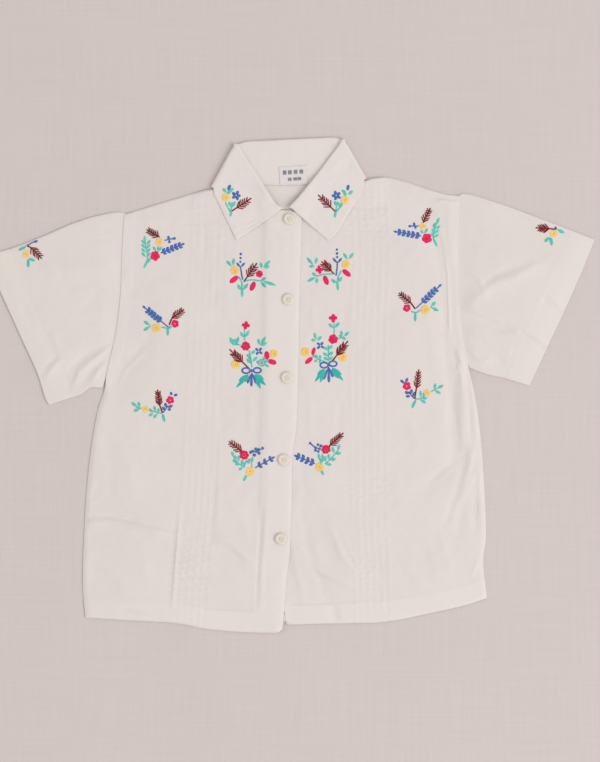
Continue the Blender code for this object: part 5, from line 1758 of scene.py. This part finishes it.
def sew_curve(xs, ys, length=2.1, gap=0.8, width=0.26):
    """Machine stitches along arrays of x and y in mm."""
    keys = np.concatenate([[0], np.cumsum(np.hypot(np.diff(xs), np.diff(ys)))])
    at = 0.4
    while at + length < keys[-1]:
        x0, x1 = np.interp([at, at + length], keys, xs)
        y0, y1 = np.interp([at, at + length], keys, ys)
        stitches.setdefault("white", []).append((x0, y0, x1, y1, width, -0.35))
        at += length + gap


STITCH_INSET = 2.6        # mm from the foot of a tuck to its stitches


def sew_seams():
    """Hems, facing, tucks, armholes and the edge of the collar."""
    for first, last, hem, top in ((-190, -36, right_hem, right_top(-60)),
                                  (4, 183, left_hem, left_top(60))):
        x = np.linspace(first, last, 60)
        sew_curve(x, hem(x) + (top - hem(x)) * (HEM_PART + 0.0028))
    tall = np.linspace(-212, 158, 90)
    sew_curve(facing_edge(tall) + 1.1, tall)
    for k in range(TUCKS):
        place = TUCK_PITCH * k + STITCH_INSET
        high = np.linspace(-222, 182, 90)
        sew_curve(right_tuck(high) + place, high)
        sew_curve(left_tuck(high) - place, np.linspace(-212, 188, 90))
    for bottom, top, side, direction in ((8, 160, right_side, 1), (24, 176, left_side, -1)):
        arm = np.linspace(bottom, top, 40)
        sew_curve(side(arm) + direction * (ARMHOLE_SEAM - 0.4), arm)
    along = len(collar_middle)
    edge = collar_middle[:, -COLLAR_STITCH]
    for first, last in ((4, along // 3 - 6), (2 * along // 3 + 6, along - 4)):
        sew_curve(edge[first:last, 0], edge[first:last, 1])


HOLE_RADIUS = 0.56
HOLE_PLACE = 1.45         # from the button's centre
THREAD_REACH = 1.85       # half the length of the crossed threads
THREAD_LEVEL = 1.84       # over the button's underside


def tie_button(number, x, y, turn):
    """Crossed thread through the four holes."""
    low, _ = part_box(f"button_{number}")
    rows = []
    for k in (0, 1):
        for side in (-0.36, 0.0, 0.36):
            angle = math.radians(turn + 45 + 90 * k)
            dx = THREAD_REACH * math.cos(angle)
            dy = THREAD_REACH * math.sin(angle)
            ox = -side * math.sin(angle)
            oy = side * math.cos(angle)
            rows.append((x - dx + ox, y - dy + oy, x + dx + ox, y + dy + oy, 0.5, 0.4 * k))
    level = low.z / MM + THREAD_LEVEL
    obj = thread_object(f"button_{number}_thread", rows, lambda px, py: level)
    add_piece(obj, thread_material(f"button_thread_{number}", *WHITE_THREAD), "embroidery")


BUTTON_PROFILE = [  # radius, height
    (0.0, 1.86), (1.2, 1.86), (2.4, 1.87), (2.9, 1.92), (3.3, 2.02), (3.7, 2.14),
    (4.0, BUTTON_THICKNESS), (4.3, 2.15), (4.65, 1.94), (5.0, 1.6), (5.35, 1.15), (5.6, 0.75),
    (BUTTON_WIDTH / 2, 0.5), (5.65, 0.3), (5.4, 0.12), (4.8, 0.03), (1.8, 0.0), (0.0, 0.0)]
BUTTON_STEPS = 56


def button_mesh(number):
    """A lathe-turned button with a rolled rim, a dished face and four holes."""
    work = bmesh.new()
    rings = []
    turns = [2 * math.pi * k / BUTTON_STEPS for k in range(BUTTON_STEPS)]
    for r, z in BUTTON_PROFILE:
        rings.append([work.verts.new((r * MM * math.cos(turn), r * MM * math.sin(turn), z * MM))
                      for turn in (turns if r > 0 else turns[:1])])
    for first, second in zip(rings, rings[1:]):
        for k in range(BUTTON_STEPS):
            after = (k + 1) % BUTTON_STEPS
            if len(first) == 1:
                work.faces.new((first[0], second[k], second[after]))
            elif len(second) == 1:
                work.faces.new((first[k], second[0], first[after]))
            else:
                work.faces.new((first[k], second[k], second[after], first[after]))
    bmesh.ops.recalc_face_normals(work, faces=work.faces)
    mesh = bpy.data.meshes.new(f"button_{number}_turned")
    work.to_mesh(mesh)
    work.free()
    cut = bmesh.new()
    for k in range(4):
        angle = math.pi / 4 + math.pi / 2 * k
        cone = bmesh.ops.create_cone(cut, cap_ends=True, segments=16, radius1=HOLE_RADIUS * MM,
                                     radius2=HOLE_RADIUS * MM, depth=0.006)
        bmesh.ops.translate(cut, verts=cone["verts"],
                            vec=(HOLE_PLACE * math.cos(angle) * MM,
                                 HOLE_PLACE * math.sin(angle) * MM, 0.001))
    cutter_mesh = bpy.data.meshes.new("button_holes")
    cut.to_mesh(cutter_mesh)
    cut.free()
    body = put(f"button_{number}_turned", mesh)
    cutter = put("button_holes", cutter_mesh)
    holes = body.modifiers.new("holes", "BOOLEAN")
    holes.operation = "DIFFERENCE"
    holes.solver = "EXACT"
    holes.object = cutter
    bpy.context.view_layer.update()
    graph = bpy.context.evaluated_depsgraph_get()
    finished = bpy.data.meshes.new_from_object(body.evaluated_get(graph))
    bpy.data.objects.remove(body)
    bpy.data.objects.remove(cutter)
    finished.shade_smooth()
    finished.set_sharp_from_angle(angle=math.radians(35))
    return finished


def button(number, x, y, turn):
    """A button in its place, on its own finished mesh."""
    mesh = button_mesh(number)
    low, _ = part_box(f"button_{number}")
    angle = math.radians(turn)
    points = points_of(mesh)
    placed = np.stack([points[:, 0] * math.cos(angle) - points[:, 1] * math.sin(angle) + x * MM,
                       points[:, 0] * math.sin(angle) + points[:, 1] * math.cos(angle) + y * MM,
                       points[:, 2] + low.z], axis=-1)
    mesh.vertices.foreach_set("co", placed.ravel())
    mesh.update()
    return put(f"button_{number}_detailed", mesh)


# Cloth
back_obj, back_points = back()
left_obj, left_points = left_front()
right_obj, right_points = right_front()
right_sleeve_obj, right_sleeve_points = sleeve(
    "right_sleeve_cloth", RIGHT_SLEEVE, RIGHT_SLEEVE_FOLDS, RIGHT_SLEEVE_CREASES, True)
left_sleeve_obj, left_sleeve_points = sleeve(
    "left_sleeve_cloth", LEFT_SLEEVE, LEFT_SLEEVE_FOLDS, LEFT_SLEEVE_CREASES, False)
collar_obj, collar_middle = collar(ground_under([left_obj, right_obj]))

cloth_pieces = [
    (back_obj, "back"), (left_obj, "left_front"), (right_obj, "right_front"),
    (right_sleeve_obj, "right_sleeve"), (left_sleeve_obj, "left_sleeve"), (collar_obj, "collar")]
STAINS = [  # view x, view y, reach in mm, strength
    (59.5, 276, 4, 0.45), (6, 270, 16, 0.5), (276, 372, 9, 0.35), (270, 246, 10, 0.15)]
for obj, node in cloth_pieces:
    stain_attribute(obj, STAINS)
    add_piece(obj, cotton_material(f"cotton_{node}"), "cotton", node)

SHEETS = [  # piece, width and length in m of the cut that shows, points, all round, how it
    # is held, what it rests on
    (back_obj, 0.385, 0.426, back_points, False, "laid", []),
    (left_obj, 0.206, 0.427, left_points, False, "laid", [back_obj]),
    (right_obj, 0.210, 0.430, right_points, False, "laid", [left_obj, back_obj]),
    (right_sleeve_obj, 0.350, 0.150, right_sleeve_points, True, "laid", []),
    (left_sleeve_obj, 0.350, 0.150, left_sleeve_points, True, "laid", []),
    (collar_obj, 0.420, 0.110, collar_middle, False, "folded", [right_obj, left_obj, back_obj])]
for obj, width, length, points, closed, held, rests_on in SHEETS:
    surface_area(points, closed)
    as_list(rests_on)

ground = ground_under([obj for obj, _ in cloth_pieces])

# Label
label_obj = label(ground)
add_piece(label_obj, tape_material(), "label_tape", "label")
ground = ground_under([obj for obj, _ in cloth_pieces] + [label_obj])

# Buttons
for number, (x, y, turn) in enumerate(BUTTONS, 1):
    obj = button(number, x, y, turn)
    add_piece(obj, button_material(f"button_plastic_{number}"), "button", f"button_{number}")
    tie_button(number, x, y, turn)

# Embroidery
embroider_right_chest()
embroider_left_chest()
embroider_right_centre()
embroider_left_centre()
embroider_collar()
embroider_sleeves()
sew_seams()
weave_label_marks()
THREADS = {  # colour: dark and light shade
    "teal": ((0.070, 0.47, 0.39), (0.165, 0.70, 0.60)),
    "deep": ((0.020, 0.38, 0.33), (0.065, 0.58, 0.51)),
    "blue": ((0.040, 0.11, 0.36), (0.100, 0.22, 0.57)),
    "red": ((0.13, 0.002, 0.006), (0.34, 0.006, 0.017)),
    "pink": ((0.70, 0.008, 0.085), (0.92, 0.032, 0.16)),
    "rose": ((0.58, 0.006, 0.060), (0.80, 0.020, 0.12)),
    "yellow": ((0.86, 0.55, 0.13), (0.98, 0.74, 0.27)),
    "gold": ((0.88, 0.50, 0.10), (0.95, 0.62, 0.17)),
    "rust": ((0.50, 0.12, 0.06), (0.62, 0.20, 0.10)),
    "white": ((0.79, 0.72, 0.69), (0.86, 0.79, 0.76)),
    "grey": ((0.17, 0.17, 0.19), (0.27, 0.27, 0.29))}
for colour, rows in stitches.items():
    obj = thread_object(f"embroidery_{colour}", rows, ground)
    add_piece(obj, thread_material(f"thread_{colour}", *THREADS[colour]), "embroidery")

# Floor, light and camera
FLOOR_HALF = 3.0
FLOOR_LEVEL = -0.00005
LIGHT_PLACE = (3.7, -1.4, 4.2)
LIGHT_SIZE = 4.4
LIGHT_POWER = 143.0
SKY_STRENGTH = 0.69


def lay_floor():
    """A pale smooth cloth that the shirt lies on."""
    mesh = bpy.data.meshes.new("floor")
    corners = ((-1, -1), (1, -1), (1, 1), (-1, 1))
    mesh.from_pydata([(x * FLOOR_HALF, y * FLOOR_HALF, FLOOR_LEVEL) for x, y in corners], [],
                     [(0, 1, 2, 3)])
    material, tree, shader = make_nodes("floor")
    lengthwise = texture(tree, "ShaderNodeTexNoise", 420.0,
                         object_coords(tree, (1.0, 0.035, 1.0)))
    crosswise = texture(tree, "ShaderNodeTexNoise", 420.0,
                        object_coords(tree, (0.035, 1.0, 1.0)))
    cloud = texture(tree, "ShaderNodeTexNoise", 7.0, object_coords(tree), Detail=4.0)
    woven = average(tree, average(tree, lengthwise, crosswise, 0.5), cloud, 0.8)
    link(tree, mix_colours(tree, woven, (0.60, 0.522, 0.503), (0.73, 0.638, 0.617)),
         shader.inputs["Base Color"])
    set_shader(shader, Roughness=0.85)
    mesh.materials.append(material)
    put("floor", mesh)


def light_scene():
    """An even white surrounding and one broad light from the right."""
    world = bpy.context.scene.world or bpy.data.worlds.new("world")
    bpy.context.scene.world = world
    world.use_nodes = True
    background = world.node_tree.nodes["Background"]
    background.inputs["Color"].default_value = (1.0, 1.0, 1.0, 1.0)
    background.inputs["Strength"].default_value = SKY_STRENGTH
    data = bpy.data.lights.new("key", "AREA")
    data.shape = "DISK"
    data.size = LIGHT_SIZE
    data.energy = LIGHT_POWER
    light = put("key", data)
    light.location = LIGHT_PLACE
    light.rotation_euler = (-Vector(LIGHT_PLACE)).to_track_quat("-Z", "Y").to_euler()


lay_floor()
light_scene()

CAMERA_DISTANCE = 3.0
VIEW_SIZE = (600.0, 762.0)  # view units
SENSOR = 24.0
camera_data = bpy.data.cameras.new("camera")
camera_data.sensor_fit = "VERTICAL"
camera_data.sensor_height = SENSOR
camera_data.lens = SENSOR * CAMERA_DISTANCE / (VIEW_SIZE[1] * UNIT * MM)
camera = put("camera", camera_data)
camera.location = (*(to_plan((VIEW_SIZE[0] / 2, VIEW_SIZE[1] / 2)) * MM), CAMERA_DISTANCE)
bpy.context.scene.camera = camera
bpy.context.scene.view_settings.view_transform = "Standard"
